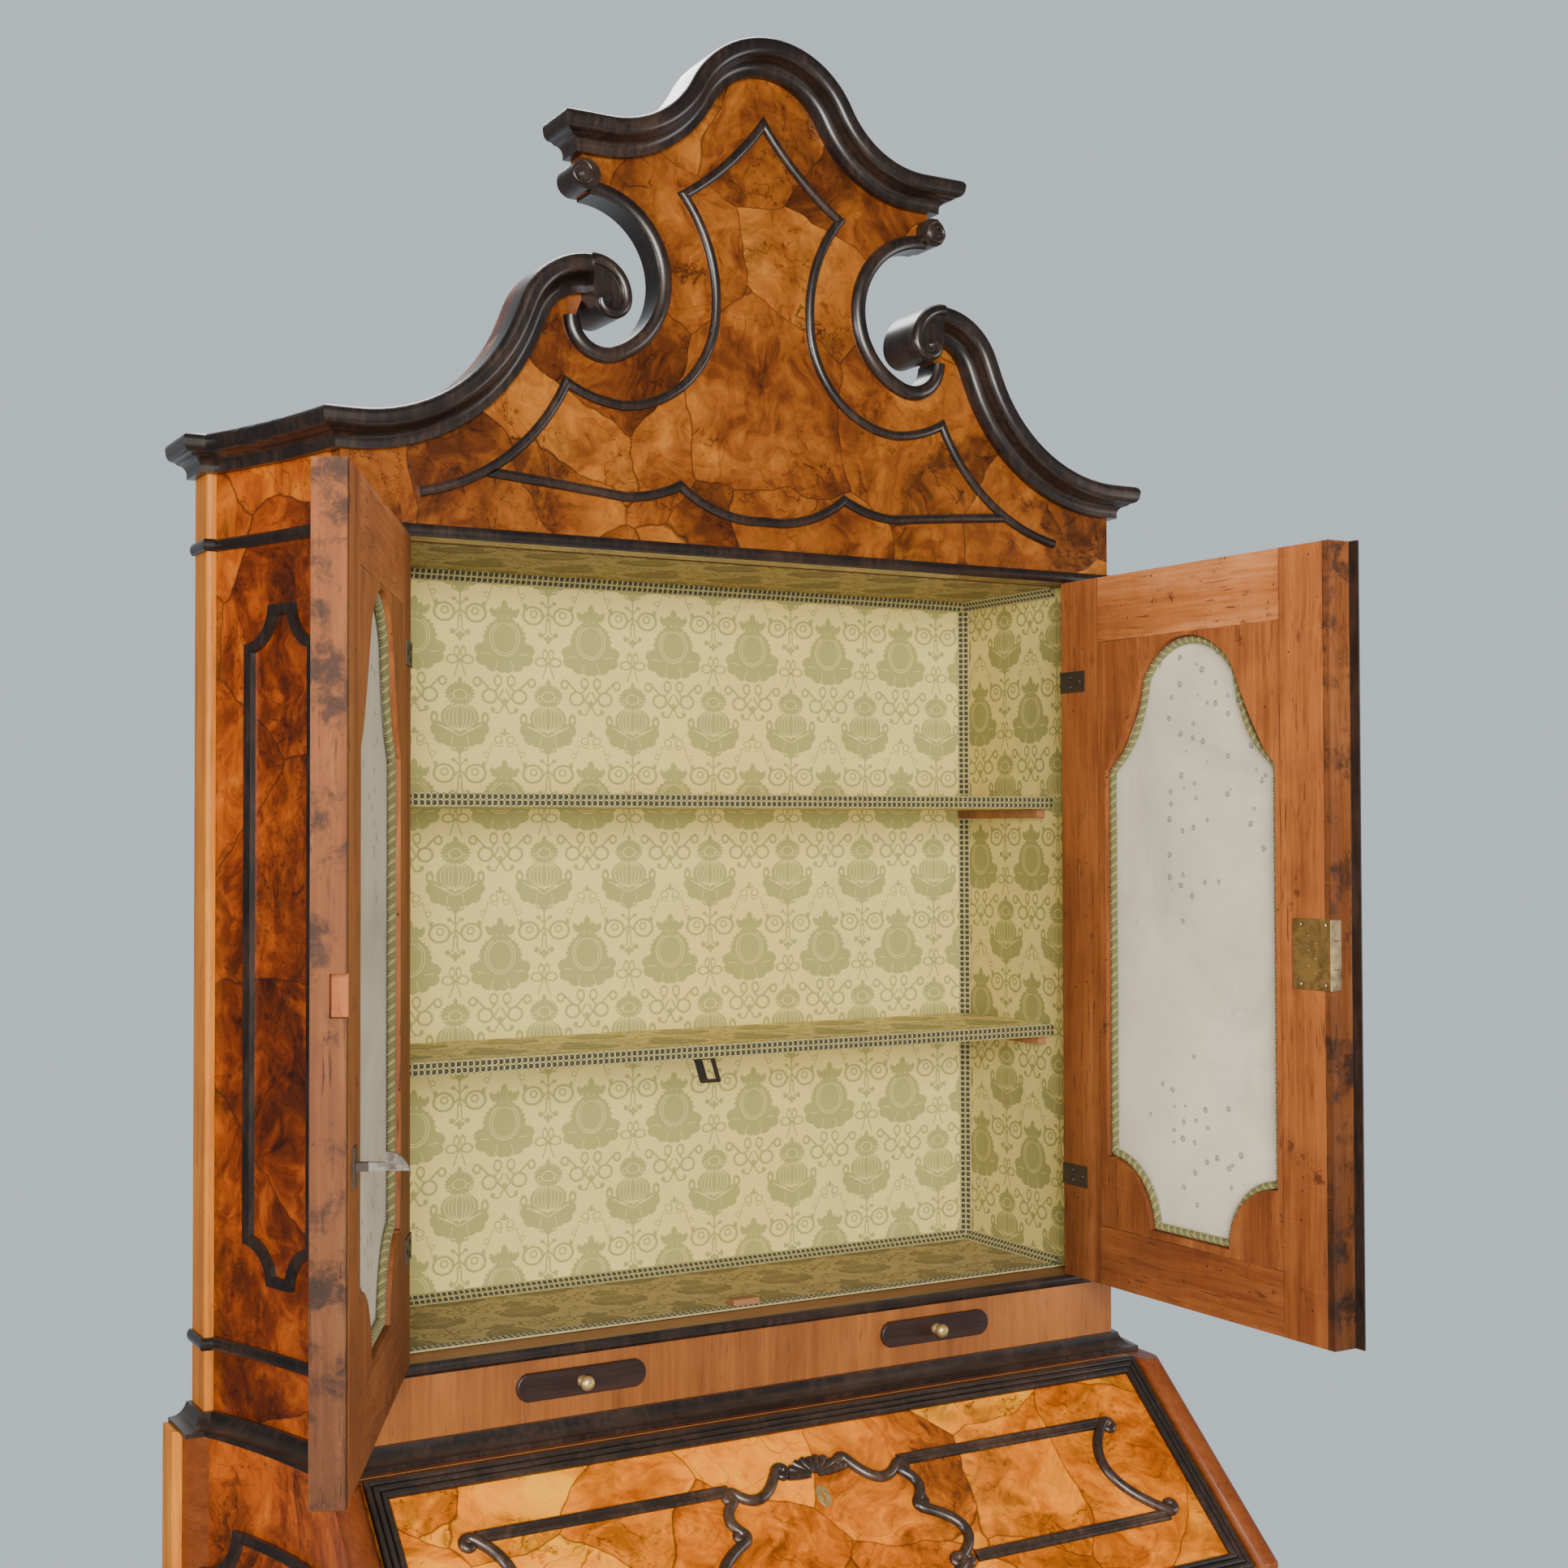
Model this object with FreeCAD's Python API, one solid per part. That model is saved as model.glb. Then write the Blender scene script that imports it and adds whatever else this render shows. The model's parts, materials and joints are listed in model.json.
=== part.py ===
import FreeCAD, Part
import math
import os

from FreeCAD import Vector

# Bureau cabinet: a slant-front bureau on bracket feet that carries a two-door cabinet with a
# scrolled pediment. Millimetres. +X is the viewer's right, +Y the back, +Z up. Z = 0 is the floor,
# Y = 0 the front plane of the upper cabinet, X = 0 the middle.

# Bureau: heights and depth
bureau_height = 1000.0
foot_height = 110.0
plinth_height = 45.0
plinth_projection = 18.0
bureau_front_y = -264.0
back_y = 270.0

# Bureau: concave sides, seen from above
bureau_front_half = 524.0
bureau_flare = 78.0
bureau_flare_length = 285.0
bureau_strip_depth = 45.0
bureau_side_board = 29.0
rear_strip_step = 11.0
rear_strip_round = 5.0

# Bureau: boards
bureau_top_board = 18.0
bureau_back_board = 16.0
bottom_board = 24.0
bottom_reveal = 3.0
divider_board = 20.0
deck_board = 18.0
foot_width = 170.0
foot_board = 28.0

# Fall front
fall_angle = 42.0
fall_length = 290.0
fall_thickness = 22.0
fall_top_y = -49.0
fall_side_gap = 4.0
fall_top_gap = 1.5
fall_frame_width = 22.0
fall_frame_relief = 6.0
fall_reeds = 3
fall_hinge_gap = 0.5
fall_hinge_x = 330.0
fall_hinge_length = 60.0
fall_leaf_width = 30.0
fall_leaf_thickness = 1.5
fall_knuckle_radius = 3.2

# Fall ornament, measured across from the middle and down the slope from the top edge
ornament_relief = 8.0
ornament_width = 12.0
ornament_ball = 8.0
ornament_margin = 67.0
ornament_foot = 83.0
ornament_keyhole_v = 105.0
ornament_shell_v = 80.0
ornament_shell_half = 32.0
ornament_shell_ribs = 7
escutcheon_half_width = 8.0
escutcheon_half_height = 13.0
escutcheon_thickness = 1.5
keyhole_radius = 2.2
keyhole_slot = 6.0

# Lopers and drawers in the bureau
loper_width = 24.0
loper_height = 60.0
loper_fall_gap = 1.0
slide_gap = 1.0
slide_seat = 0.3
drawer_front_board = 20.0
drawer_wall = 12.0
drawer_floor = 8.0
drawer_back_room = 24.0
long_drawer_count = 2
knob_radius = 13.0
knob_length = 26.0
drawer_knob_x = 290.0
top_drawer_knob_x = 210.0
loper_knob_radius = 7.0

# Writing compartment
gallery_front_y = 60.0
gallery_board = 9.0
gallery_bays = 6
small_drawer_height = 62.0
small_drawer_wall = 6.0
small_drawer_knob = 7.0

# Cabinet: plan and heights
cabinet_inset = 24.0
cabinet_flare = 70.0
cabinet_flare_angle = 11.0
cabinet_strip_depth = 52.0
cabinet_side_edge = 45.0
base_moulding_height = 20.0
base_moulding_projection = 26.0
frieze_height = 86.0
opening_height = 862.0
frieze_board = 25.0
pediment_thickness = 30.0
cabinet_back_board = 18.0
cabinet_bottom_board = 22.0
cabinet_top_board = 18.0
string_height = 13.5
string_projection = 6.0
lining_thickness = 1.0
lining_front_y = 36.0

# Shelves
shelf_thickness = 14.5
shelf_front_y = 60.0
lower_shelf_rise = 304.0
upper_shelf_rise = 594.5
shelf_end_gap = 0.3
cleat_size = 12.0
stop_width = 34.0
stop_depth = 16.0
stop_height = 9.0
stop_room = 14.0

# Pediment: cornice and its swan necks
cornice_projection = 34.0
cornice_height = 39.0
cornice_rise = 124.5
neck_lead = 8.0
neck_slope = 68.0
neck_straight = 24.0
neck_crown_radius = 86.0
crown_x = 229.0

# Pediment: volutes
volute_radii = (46.0, 24.0, 20.0)
volute_back_drop = 45.0
volute_band = 6.0
volute_eye = 8.0

# Pediment: C scrolls and crest
scroll_start_x = 221.0
scroll_start_rise = 75.0
scroll_radius = 88.0
scroll_sweep = 160.0
scroll_tail_radius = 34.0
scroll_tail_sweep = 110.0
scroll_lining = 3.0
scroll_width = 14.0
scroll_relief = 9.0
scroll_roll_radius = 17.0
scroll_roll_relief = 13.0
scroll_button = 4.0
crest_rise = 279.0
crest_crown_radius = 118.0
crest_foot_radius = 115.0
crest_slope = 62.0
crest_end_x = 228.0

# Bead line of the pediment: spots (across, above) that end its arcs. The shield's are set from the
# crown of the neck, the foot's from the middle of the opening's top, the end's from the cabinet's edge.
bead_tip = (0.0, 187.4)
bead_shoulder = (103.0, 90.4)
bead_waist = (62.0, -34.6)
bead_lobe = (180.0, -156.6)
bead_horn = (247.0, -137.6)
bead_foot = (176.0, 60.5)
bead_cusp = (108.0, 78.5)
bead_keel = (0.0, 45.5)
bead_end = (-85.0, 47.5)
bead_tail = (-157.0, 75.0)
bead_shield_bows = (-6.5, -12.5, -33.6, -4.0)
bead_end_bow = -26.0
bead_foot_bows = (-0.4, 3.9, 11.0)

# Applied beads
bead_width = 11.0
bead_relief = 6.0
side_bead_front_y = 43.0
side_bead_rear_y = 166.0
side_bead_bottom_rise = 69.0
side_bead_top_drop = 66.0
side_bead_notch = 40.0
bureau_bead_margin = 75.0
bureau_bead_notch = 50.0

# Candle slides
candle_x = 230.0
candle_rise = 57.5
candle_front_width = 152.0
candle_front_height = 30.0
candle_front_relief = 6.0
candle_board_width = 128.0
candle_board = 10.0
candle_depth = 190.0
candle_runner = 12.0
candle_knob_radius = 8.0
candle_knob_length = 18.0

# Doors, drawn closed and then turned to where they stand open
door_thickness = 30.0
door_hinge_gap = 2.0
door_meeting_gap = 0.5
door_height_gap = 1.5
left_door_open = 116.0
right_door_open = 91.0
door_stile = 82.75
window_bottom = 80.0
window_top_rail = 83.0
window_arch_rise = 41.0
window_shoulder_drop = 112.0
window_shoulder_width = 65.5
window_lobe = 77.0
window_shoulder = 15.0
window_waist = 3.0
window_rebate = 10.0
window_lip = 12.0
mirror_thickness = 4.0
mirror_gap = 0.5
door_moulding_width = 16.0
door_moulding_relief = 7.0
cord_size = 9.0
cord_gap = 0.3
astragal_width = 24.0
astragal_relief = 9.0
astragal_gap = 0.4

# Door ironwork
hinge_inset = 125.0
hinge_leaf_width = 46.0
hinge_leaf_height = 26.0
hinge_leaf_thickness = 1.5
hinge_strap_thickness = 0.8
knuckle_radius = 4.0
knuckle_height = 10.0
knuckle_gap = 0.4
pin_radius = 1.8
pin_gap = 0.3
lock_width = 56.0
lock_height = 76.0
lock_plate = 1.5
lock_depth = 14.0
lock_z = 417.0
bolt_width = 8.0
bolt_height = 30.0
bolt_length = 34.0
bolt_gap = 0.3
strike_depth = 12.0
strike_room = 3.0
hook_from_edge = 46.0
hook_z = 271.0
hook_reach = 46.0
hook_thickness = 4.0
hook_arm = 7.0
hook_head = 20.0
hook_pivot_reach = 7.0
hook_pin_radius = 2.0
hook_ear = 2.5
hook_plate_height = 34.0
hook_plate_width = 18.0
hook_plate = 1.5
keeper_width = 26.0
keeper_drop = 25.0
keeper_front_y = 44.0
keeper_leaf = 30.0
keeper_thickness = 2.0
keeper_hole_width = 12.0
keeper_hole_shift = 2.5
keeper_rim = 2.0

# Places that follow from the sizes above
bureau_rear_half = bureau_front_half + bureau_flare
bureau_flare_end_y = back_y - bureau_strip_depth
bureau_flare_start_y = bureau_flare_end_y - bureau_flare_length
cabinet_front_half = bureau_front_half - cabinet_inset
cabinet_rear_half = cabinet_front_half + cabinet_flare
cabinet_flare_end_y = back_y - cabinet_strip_depth
cabinet_inner_half = cabinet_front_half - cabinet_side_edge
frieze_top = bureau_height + frieze_height
candle_z = bureau_height + candle_rise
opening_bottom = frieze_top + string_height
lower_shelf_z = opening_bottom + lower_shelf_rise
upper_shelf_z = opening_bottom + upper_shelf_rise
bottom_top = foot_height + plinth_height + bottom_reveal
slope = math.radians(fall_angle)
fall_hinge_y = fall_top_y - fall_length * math.cos(slope) + fall_thickness * math.sin(slope)
fall_hinge_z = bureau_height - fall_length * math.sin(slope) - fall_thickness * math.cos(slope)
bureau_inner_half = bureau_front_half - bureau_side_board
fall_half = bureau_inner_half - fall_side_gap
deck_bottom = fall_hinge_z - deck_board
deck_front_y = fall_hinge_y + fall_hinge_gap
loper_top = fall_hinge_z - fall_thickness - fall_frame_relief - loper_fall_gap
loper_bottom = loper_top - loper_height
loper_space_half = bureau_inner_half - loper_width - 2 * slide_gap
opening_top = opening_bottom + opening_height
cornice_corner_z = opening_top + cornice_rise
bureau_back_front_y = back_y - bureau_back_board
cabinet_back_front_y = back_y - cabinet_back_board
neck_angle = math.radians(neck_slope)
neck_run = cabinet_front_half - crown_x - neck_lead - neck_straight * math.cos(neck_angle)
neck_foot_radius = neck_run / math.sin(neck_angle) - neck_crown_radius
crown_z = (cornice_corner_z + neck_straight * math.sin(neck_angle)
           + (neck_foot_radius + neck_crown_radius) * (1 - math.cos(neck_angle)))
apex_z = crown_z + crest_rise
crest_turn = crest_crown_radius + crest_foot_radius
crest_end_z = apex_z - crest_turn * (1 - math.cos(math.radians(crest_slope)))
crest_flat = crest_end_x - crest_turn * math.sin(math.radians(crest_slope))
scroll_start_z = crown_z + scroll_start_rise
roll_centre = Vector(crest_end_x, 0, scroll_start_z + scroll_roll_radius)
door_height = opening_height - 2 * door_height_gap
door_bottom = opening_bottom + door_height_gap
door_top = door_bottom + door_height
door_outer_x = cabinet_inner_half - door_hinge_gap
door_middle_x = (door_outer_x + door_meeting_gap) / 2
window_half = (door_outer_x - door_meeting_gap) / 2 - door_stile
window_arch_half = window_half - window_shoulder_width
window_arch_top = door_height - window_top_rail
window_arch_spring = window_arch_top - window_arch_rise
window_side_top = window_arch_spring - window_shoulder_drop
mirror_y = window_lip + mirror_gap
hinge_heights = (door_bottom + hinge_inset, door_top - hinge_inset)
knuckle_pitch = knuckle_height + knuckle_gap
hook_pivot_y = door_thickness + hook_plate + hook_pivot_reach
hook_x = door_meeting_gap + hook_from_edge
hook_pivot_z = door_bottom + hook_z
lock_middle_z = door_bottom + lock_z
lock_middle_y = door_thickness - lock_depth / 2

os.makedirs("parts", exist_ok=True)


def box(x0, x1, y0, y1, z0, z1):
    return Part.makeBox(x1 - x0, y1 - y0, z1 - z0, Vector(x0, y0, z0))


def mirrored(shape):
    return shape.mirror(Vector(0, 0, 0), Vector(1, 0, 0))


def both(shape):
    return Part.makeCompound([shape, mirrored(shape)])


def export(name, shape):
    shape.exportStep("parts/" + name + ".step")


def fused(shapes):
    return shapes[0].multiFuse(shapes[1:]).removeSplitter()


def line(a, b):
    return Part.LineSegment(a, b).toShape()


def arc(a, middle, b):
    return Part.Arc(a, middle, b).toShape()


def face(edges):
    return Part.Face(Part.Wire(Part.__sortEdges__(edges)))


def prism(edges, direction):
    return face(edges).extrude(direction)


def polygon(points):
    return [line(a, b) for a, b in zip(points, points[1:] + points[:1])]


def rod(radius, length, centre, axis):
    return Part.makeCylinder(radius, length, centre - axis * (length / 2), axis)


def trace(start, heading, moves):
    """Follow lines (length,) and arcs (radius, turn) in the front plane; return edges and the end."""
    a = Vector(start[0], 0, start[1])
    angle = math.radians(heading)
    edges = []
    for move in moves:
        if len(move) == 1:
            b = a + Vector(math.cos(angle), 0, math.sin(angle)) * move[0]
            edges.append(line(a, b))
        else:
            radius, turn = move[0], math.radians(move[1])
            side = math.copysign(1, turn)
            centre = a + Vector(-math.sin(angle), 0, math.cos(angle)) * side * radius
            spokes = [angle + turn * share - side * math.pi / 2 for share in (0.5, 1)]
            half, b = [centre + Vector(math.cos(s), 0, math.sin(s)) * radius for s in spokes]
            edges.append(arc(a, half, b))
            angle += turn
        a = b
    return edges, a


def sweep(path, profile):
    """Carry a profile along a path with corners, which it turns by mitres."""
    return Part.Wire(path).makePipeShell([Part.Wire(profile)], True, False, 1)


def smooth_sweep(path, profile):
    """Carry a profile along tangent lines and arcs: each line is extruded, each arc is turned."""
    section = Part.Face(Part.Wire(profile))
    solids = []
    for edge in path:
        if isinstance(edge.Curve, Part.Circle):
            turn = math.degrees(edge.LastParameter - edge.FirstParameter)
            solids.append(section.revolve(edge.Curve.Center, edge.Curve.Axis, turn))
            section = section.copy()
            section.rotate(edge.Curve.Center, edge.Curve.Axis, turn)
        else:
            run = edge.valueAt(edge.LastParameter) - edge.valueAt(edge.FirstParameter)
            solids.append(section.extrude(run))
            section = section.translated(run)
    return fused(solids) if len(solids) > 1 else solids[0]


def profile_edges(profile, at):
    """Join profile steps (p, q) by lines, or by an arc through (p, q, middle p, middle q)."""
    edges = []
    last = profile[0]
    for step in profile[1:] + profile[:1]:
        if len(step) == 4:
            edges.append(arc(at(*last[:2]), at(*step[2:]), at(*step[:2])))
        else:
            edges.append(line(at(*last[:2]), at(*step[:2])))
        last = step
    return edges


def half_round(path, width, relief, up):
    """A rounded bar along a path that lies on a face whose outward direction is up."""
    start = path[0].valueAt(path[0].FirstParameter)
    across = path[0].tangentAt(path[0].FirstParameter).cross(up)
    half, shoulder = width / 2, relief * 0.35
    steps = [(-half, 0), (-half, shoulder), (half, shoulder, 0, relief), (half, 0)]
    return smooth_sweep(path, profile_edges(steps, lambda p, q: start + across * p + up * q))


def tangent_arc(start, lean, end):
    """An arc in plan that leaves start at an angle to +Y and reaches end."""
    chord = end - start
    opening = math.atan2(chord.x, chord.y) - math.radians(lean)
    inward = Vector(-chord.y, chord.x, 0).normalize()
    middle = (start + end) * 0.5 + inward * (chord.Length / 2 * math.tan(opening / 2))
    return arc(start, middle, end)


def half_space(corner, direction, keep_left):
    """A big block beside an upright plane through corner that runs along direction."""
    size = 4000.0
    low, high = (0, size) if keep_left else (-size, 0)
    block = box(-size, size, low, high, -size, size)
    block.rotate(Vector(0, 0, 0), Vector(0, 0, 1), math.degrees(math.atan2(direction.y, direction.x)))
    block.translate(corner)
    return block


# Plans of the two bodies, right-hand side
bureau_corner = Vector(bureau_front_half, bureau_front_y, 0)
bureau_bend = Vector(bureau_front_half, bureau_flare_start_y, 0)
bureau_rear = Vector(bureau_rear_half, bureau_flare_end_y, 0)
bureau_outline = [line(bureau_corner, bureau_bend), tangent_arc(bureau_bend, 0.0, bureau_rear)]
cabinet_corner = Vector(cabinet_front_half, 0, 0)
cabinet_rear = Vector(cabinet_rear_half, cabinet_flare_end_y, 0)
cabinet_outline = [tangent_arc(cabinet_corner, cabinet_flare_angle, cabinet_rear)]
cabinet_lean = math.radians(cabinet_flare_angle)
cabinet_mitre = Vector((1 - math.sin(cabinet_lean)) / math.cos(cabinet_lean), -1, 0)


def side_solid(outline, corner, rear, inner_half, z0, z1):
    points = [rear, Vector(rear.x, back_y, 0), Vector(inner_half, back_y, 0),
              Vector(inner_half, corner.y, 0), corner]
    edges = outline + [line(a, b) for a, b in zip(points, points[1:])]
    return prism(edges, Vector(0, 0, z1 - z0)).translated(Vector(0, 0, z0))


def above_slant():
    """Everything in front of and above the plane of the fall's outer face."""
    reach = 900.0
    along = Vector(0, math.cos(slope), math.sin(slope)) * reach
    out = Vector(0, -math.sin(slope), math.cos(slope)) * reach
    top = Vector(-reach, fall_top_y, bureau_height)
    return prism(polygon([top - along, top + along, top + along + out, top - along + out]),
                 Vector(2 * reach, 0, 0))


def rear_strip(rear, z0, z1):
    strip = box(rear.x, rear.x + rear_strip_step, rear.y, back_y, z0, z1)
    outer = [e for e in strip.Edges if e.BoundBox.ZLength > 1 and e.BoundBox.XMin > rear.x + 1
             and e.BoundBox.YMax < rear.y + 1]
    return strip.makeFillet(rear_strip_round, outer)


def slant_cheek():
    """Half-round edge along the slope and down the front of the bureau's side."""
    radius = bureau_side_board / 2
    middle = bureau_inner_half + radius
    reach = 4 * radius
    top = Vector(middle, fall_top_y, bureau_height) + Vector(0, math.cos(slope), math.sin(slope)) * reach
    knee = Vector(middle, bureau_front_y, bureau_height - (fall_top_y - bureau_front_y) * math.tan(slope))
    foot = Vector(middle, bureau_front_y, foot_height + plinth_height)
    out = Vector(0, -math.sin(slope), math.cos(slope))
    across = Vector(radius, 0, 0)
    profile = [arc(top - across, top + out * radius, top + across), line(top + across, top - across)]
    edge = sweep([line(top, knee), line(knee, foot)], profile)
    return edge.cut(box(middle - reach, middle + reach, fall_top_y - reach, fall_top_y + 2 * reach,
                        bureau_height, bureau_height + 2 * reach))


# Mouldings that run round the front and both sides
def run_round(outline, corner, rear, lean, projection, profile, z):
    """A side piece, its break round the rear strip, and the front piece, mitred together."""
    lift = Vector(0, 0, z)
    angle = math.radians(lean)
    tangent = Vector(math.sin(angle), math.cos(angle), 0)
    outward = Vector(tangent.y, -tangent.x, 0)
    start = corner - tangent * 2 * projection
    path = [line(start, corner)] + outline
    up = Vector(0, 0, 1)
    side = smooth_sweep([e.translated(lift) for e in path],
                        profile_edges(profile, lambda p, q: start + lift + outward * p + up * q))
    step_corner = rear + Vector(rear_strip_step, 0, 0)
    step_start = rear - Vector(2 * projection, 0, 0)
    step_path = [line(step_start, step_corner), line(step_corner, Vector(step_corner.x, back_y, 0))]
    step = sweep([e.translated(lift) for e in step_path],
                 profile_edges(profile, lambda p, q: step_start + lift + Vector(0, -p, q)))
    reach = 200.0
    inside = side_solid(outline, corner, rear, 0.0, z - reach, z + reach)
    inside = inside.fuse(box(rear.x - 1, step_corner.x, rear.y, back_y, z - reach, z + reach))
    mitre = Vector((1 - tangent.x) / tangent.y, -1, 0)
    rear_tangent = outline[-1].tangentAt(outline[-1].LastParameter)
    rear_mitre = half_space(rear, Vector((1 - rear_tangent.x) / rear_tangent.y, -1, 0), True)
    side = side.cut(half_space(corner, mitre, False)).cut(rear_mitre)
    side = Part.makeCompound([side, step.common(rear_mitre).cut(inside)])
    end = corner.x + 2 * projection
    front = sweep([line(Vector(-end, corner.y, z), Vector(end, corner.y, z))],
                  profile_edges(profile, lambda p, q: Vector(-end, corner.y - p, z + q)))
    front = front.common(half_space(corner, mitre, False))
    front = mirrored(mirrored(front).common(half_space(corner, mitre, False)))
    return side, front


cornice_profile = [
    (0, 0), (cornice_projection - 8, 0),
    (cornice_projection, -8, cornice_projection - 2.4, -2.4),
    (cornice_projection - 1, -14),
    (24, -21, 30, -19), (20, -24), (10, -34, 13, -27), (10, -cornice_height), (0, -cornice_height)]
base_profile = [
    (0, 0), (base_moulding_projection, 0), (base_moulding_projection, 5),
    (8, 15, 14, 8), (6, base_moulding_height), (0, base_moulding_height)]
string_profile = [
    (0, 0), (string_projection - 3, 0),
    (string_projection - 3, string_height, string_projection, string_height / 2), (0, string_height)]
plinth_profile = [
    (0, 0), (plinth_projection, 0), (plinth_projection, plinth_height - 20),
    (plinth_projection - 12, plinth_height - 4, plinth_projection - 10, plinth_height - 14),
    (plinth_projection - 12, plinth_height), (0, plinth_height)]


# Bureau carcase
def bureau_side():
    solid = side_solid(bureau_outline, bureau_corner, bureau_rear, bureau_inner_half,
                       foot_height, bureau_height)
    return solid.cut(above_slant())


def bureau_top():
    half = bureau_inner_half
    front = fall_top_y + fall_top_gap / math.cos(slope)
    low = bureau_height - bureau_top_board
    low_front = front + bureau_top_board * math.tan(slope)
    outline = [Vector(-half, front, bureau_height), Vector(-half, bureau_back_front_y, bureau_height),
               Vector(-half, bureau_back_front_y, low), Vector(-half, low_front, low)]
    return prism(polygon(outline), Vector(2 * half, 0, 0))


def fall_axis(x):
    return Vector(x, fall_hinge_y, fall_hinge_z)


def writing_deck():
    deck = box(-bureau_inner_half, bureau_inner_half, deck_front_y, bureau_back_front_y,
               deck_bottom, fall_hinge_z)
    length = fall_hinge_length + 2 * pin_gap
    barrel = rod(fall_knuckle_radius + pin_gap, length, fall_axis(fall_hinge_x), Vector(1, 0, 0))
    leaf = box(fall_hinge_x - fall_hinge_length / 2, fall_hinge_x + fall_hinge_length / 2, fall_hinge_y,
               fall_hinge_y + fall_leaf_width, fall_hinge_z - fall_leaf_thickness, fall_hinge_z)
    return deck.cut(both(barrel)).cut(both(leaf))


def drawer_rows():
    """Bottom and top of each drawer space, the shallow one between the lopers first."""
    rows = [(loper_bottom, loper_top)]
    height = (loper_bottom - bottom_top) / long_drawer_count - divider_board
    z = loper_bottom
    for _ in range(long_drawer_count):
        rows.append((z - divider_board - height, z - divider_board))
        z -= divider_board + height
    return rows


def drawer_dividers():
    half = bureau_inner_half
    rear = bureau_back_front_y
    boards = [box(-half, half, bureau_front_y, rear, bottom_top - bottom_board, bottom_top)]
    for low, _ in drawer_rows()[:-1]:
        boards.append(box(-half, half, bureau_front_y, rear, low - divider_board, low))
    guide = box(loper_space_half - divider_board, loper_space_half, bureau_front_y, rear,
                loper_bottom, loper_top + slide_gap)
    boards += [guide, mirrored(guide)]
    boards.append(box(-half, half, deck_front_y, rear, loper_top + slide_gap, deck_bottom))
    return Part.makeCompound(boards)


def bracket(length):
    """A foot's board, tall at its toe and scooped away towards the middle."""
    heel, head = Vector(0, 0, 0), Vector(0, 0, foot_height)
    top = Vector(length, 0, foot_height)
    toe = Vector(foot_board * 1.7, 0, 0)
    bend = Vector(length * 0.5, 0, foot_height * 0.66)
    return prism([line(heel, head), line(head, top), arc(top, bend, toe), line(toe, heel)],
                 Vector(0, foot_board, 0))


def plinth_and_feet():
    """Four bracket feet, each of two boards, under a moulded plinth."""
    upright_axis = Vector(0, 0, 1)
    front = bracket(foot_width)
    front.rotate(Vector(0, 0, 0), upright_axis, 180)
    front.translate(bureau_corner + Vector(0, foot_board, 0))
    side = bracket(foot_width)
    side.rotate(Vector(0, 0, 0), upright_axis, 90)
    side.translate(bureau_corner)
    rear = bracket(foot_width)
    rear.rotate(Vector(0, 0, 0), upright_axis, 180)
    rear.translate(Vector(bureau_rear.x, back_y, 0))
    block = box(bureau_rear.x - foot_board, bureau_rear.x, back_y - 2 * foot_board, back_y, 0, foot_height)
    skirt_side, skirt_front = run_round(bureau_outline, bureau_corner, bureau_rear, 0.0,
                                        plinth_projection, plinth_profile, foot_height)
    return Part.makeCompound([both(fused([front, side])), both(fused([rear, block])),
                              both(skirt_side), skirt_front])


# Drawers
def turned_knob(radius, length, at):
    """A round knob on a neck, turned about the line that leaves its drawer towards the front."""
    foot, rim = Vector(0, 0, 0), Vector(radius * 0.8, 0, 0)
    lip = Vector(radius * 0.8, -length * 0.1, 0)
    waist = Vector(radius * 0.45, -length * 0.3, 0)
    belly = Vector(radius, -length * 0.68, 0)
    tip = Vector(0, -length, 0)
    shoulder = Vector(radius * 0.72, -length * 0.93, 0)
    bulb = Part.BSplineCurve()
    bulb.interpolate([waist, Vector(radius * 0.84, -length * 0.5, 0), belly, shoulder, tip])
    edges = [line(foot, rim), line(rim, lip), line(lip, waist), bulb.toShape(), line(tip, foot)]
    return face(edges).revolve(Vector(0, 0, 0), Vector(0, 1, 0), 360).translated(at)


def drawer_boards(x0, x1, y0, y1, z0, z1, front, wall, floor):
    """Front, two sides, back and bottom of a drawer that fills the given space."""
    low = z0 + floor
    high = z1 - wall
    return [box(x0, x1, y0, y0 + front, z0, z1),
            box(x0, x0 + wall, y0 + front, y1, low, high),
            box(x1 - wall, x1, y0 + front, y1, low, high),
            box(x0 + wall, x1 - wall, y1 - wall, y1, low, high),
            box(x0, x1, y0 + front, y1, z0, low)]


def bureau_drawer(half, low, high):
    return Part.makeCompound(drawer_boards(
        -half, half, bureau_front_y, bureau_back_front_y - drawer_back_room,
        low + slide_seat, high - slide_gap, drawer_front_board, drawer_wall, drawer_floor))


def bureau_knobs(x, low, high):
    return both(turned_knob(knob_radius, knob_length, Vector(x, bureau_front_y, (low + high) / 2)))


def loper():
    x1 = bureau_inner_half - slide_gap
    bar = box(x1 - loper_width, x1, bureau_front_y, bureau_back_front_y - drawer_back_room,
              loper_bottom + slide_seat, loper_top)
    knob = turned_knob(loper_knob_radius, 2 * loper_knob_radius,
                       Vector(x1 - loper_width / 2, bureau_front_y, (loper_bottom + loper_top) / 2))
    return bar.fuse(knob)


# Writing compartment
gallery_shelf_z = fall_hinge_z + small_drawer_height
gallery_pitch = 2 * bureau_inner_half / gallery_bays


def upright(x, z0, z1):
    left = min(max(x - gallery_board / 2, -bureau_inner_half), bureau_inner_half - gallery_board)
    return box(left, left + gallery_board, gallery_front_y, bureau_back_front_y, z0, z1)


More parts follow.
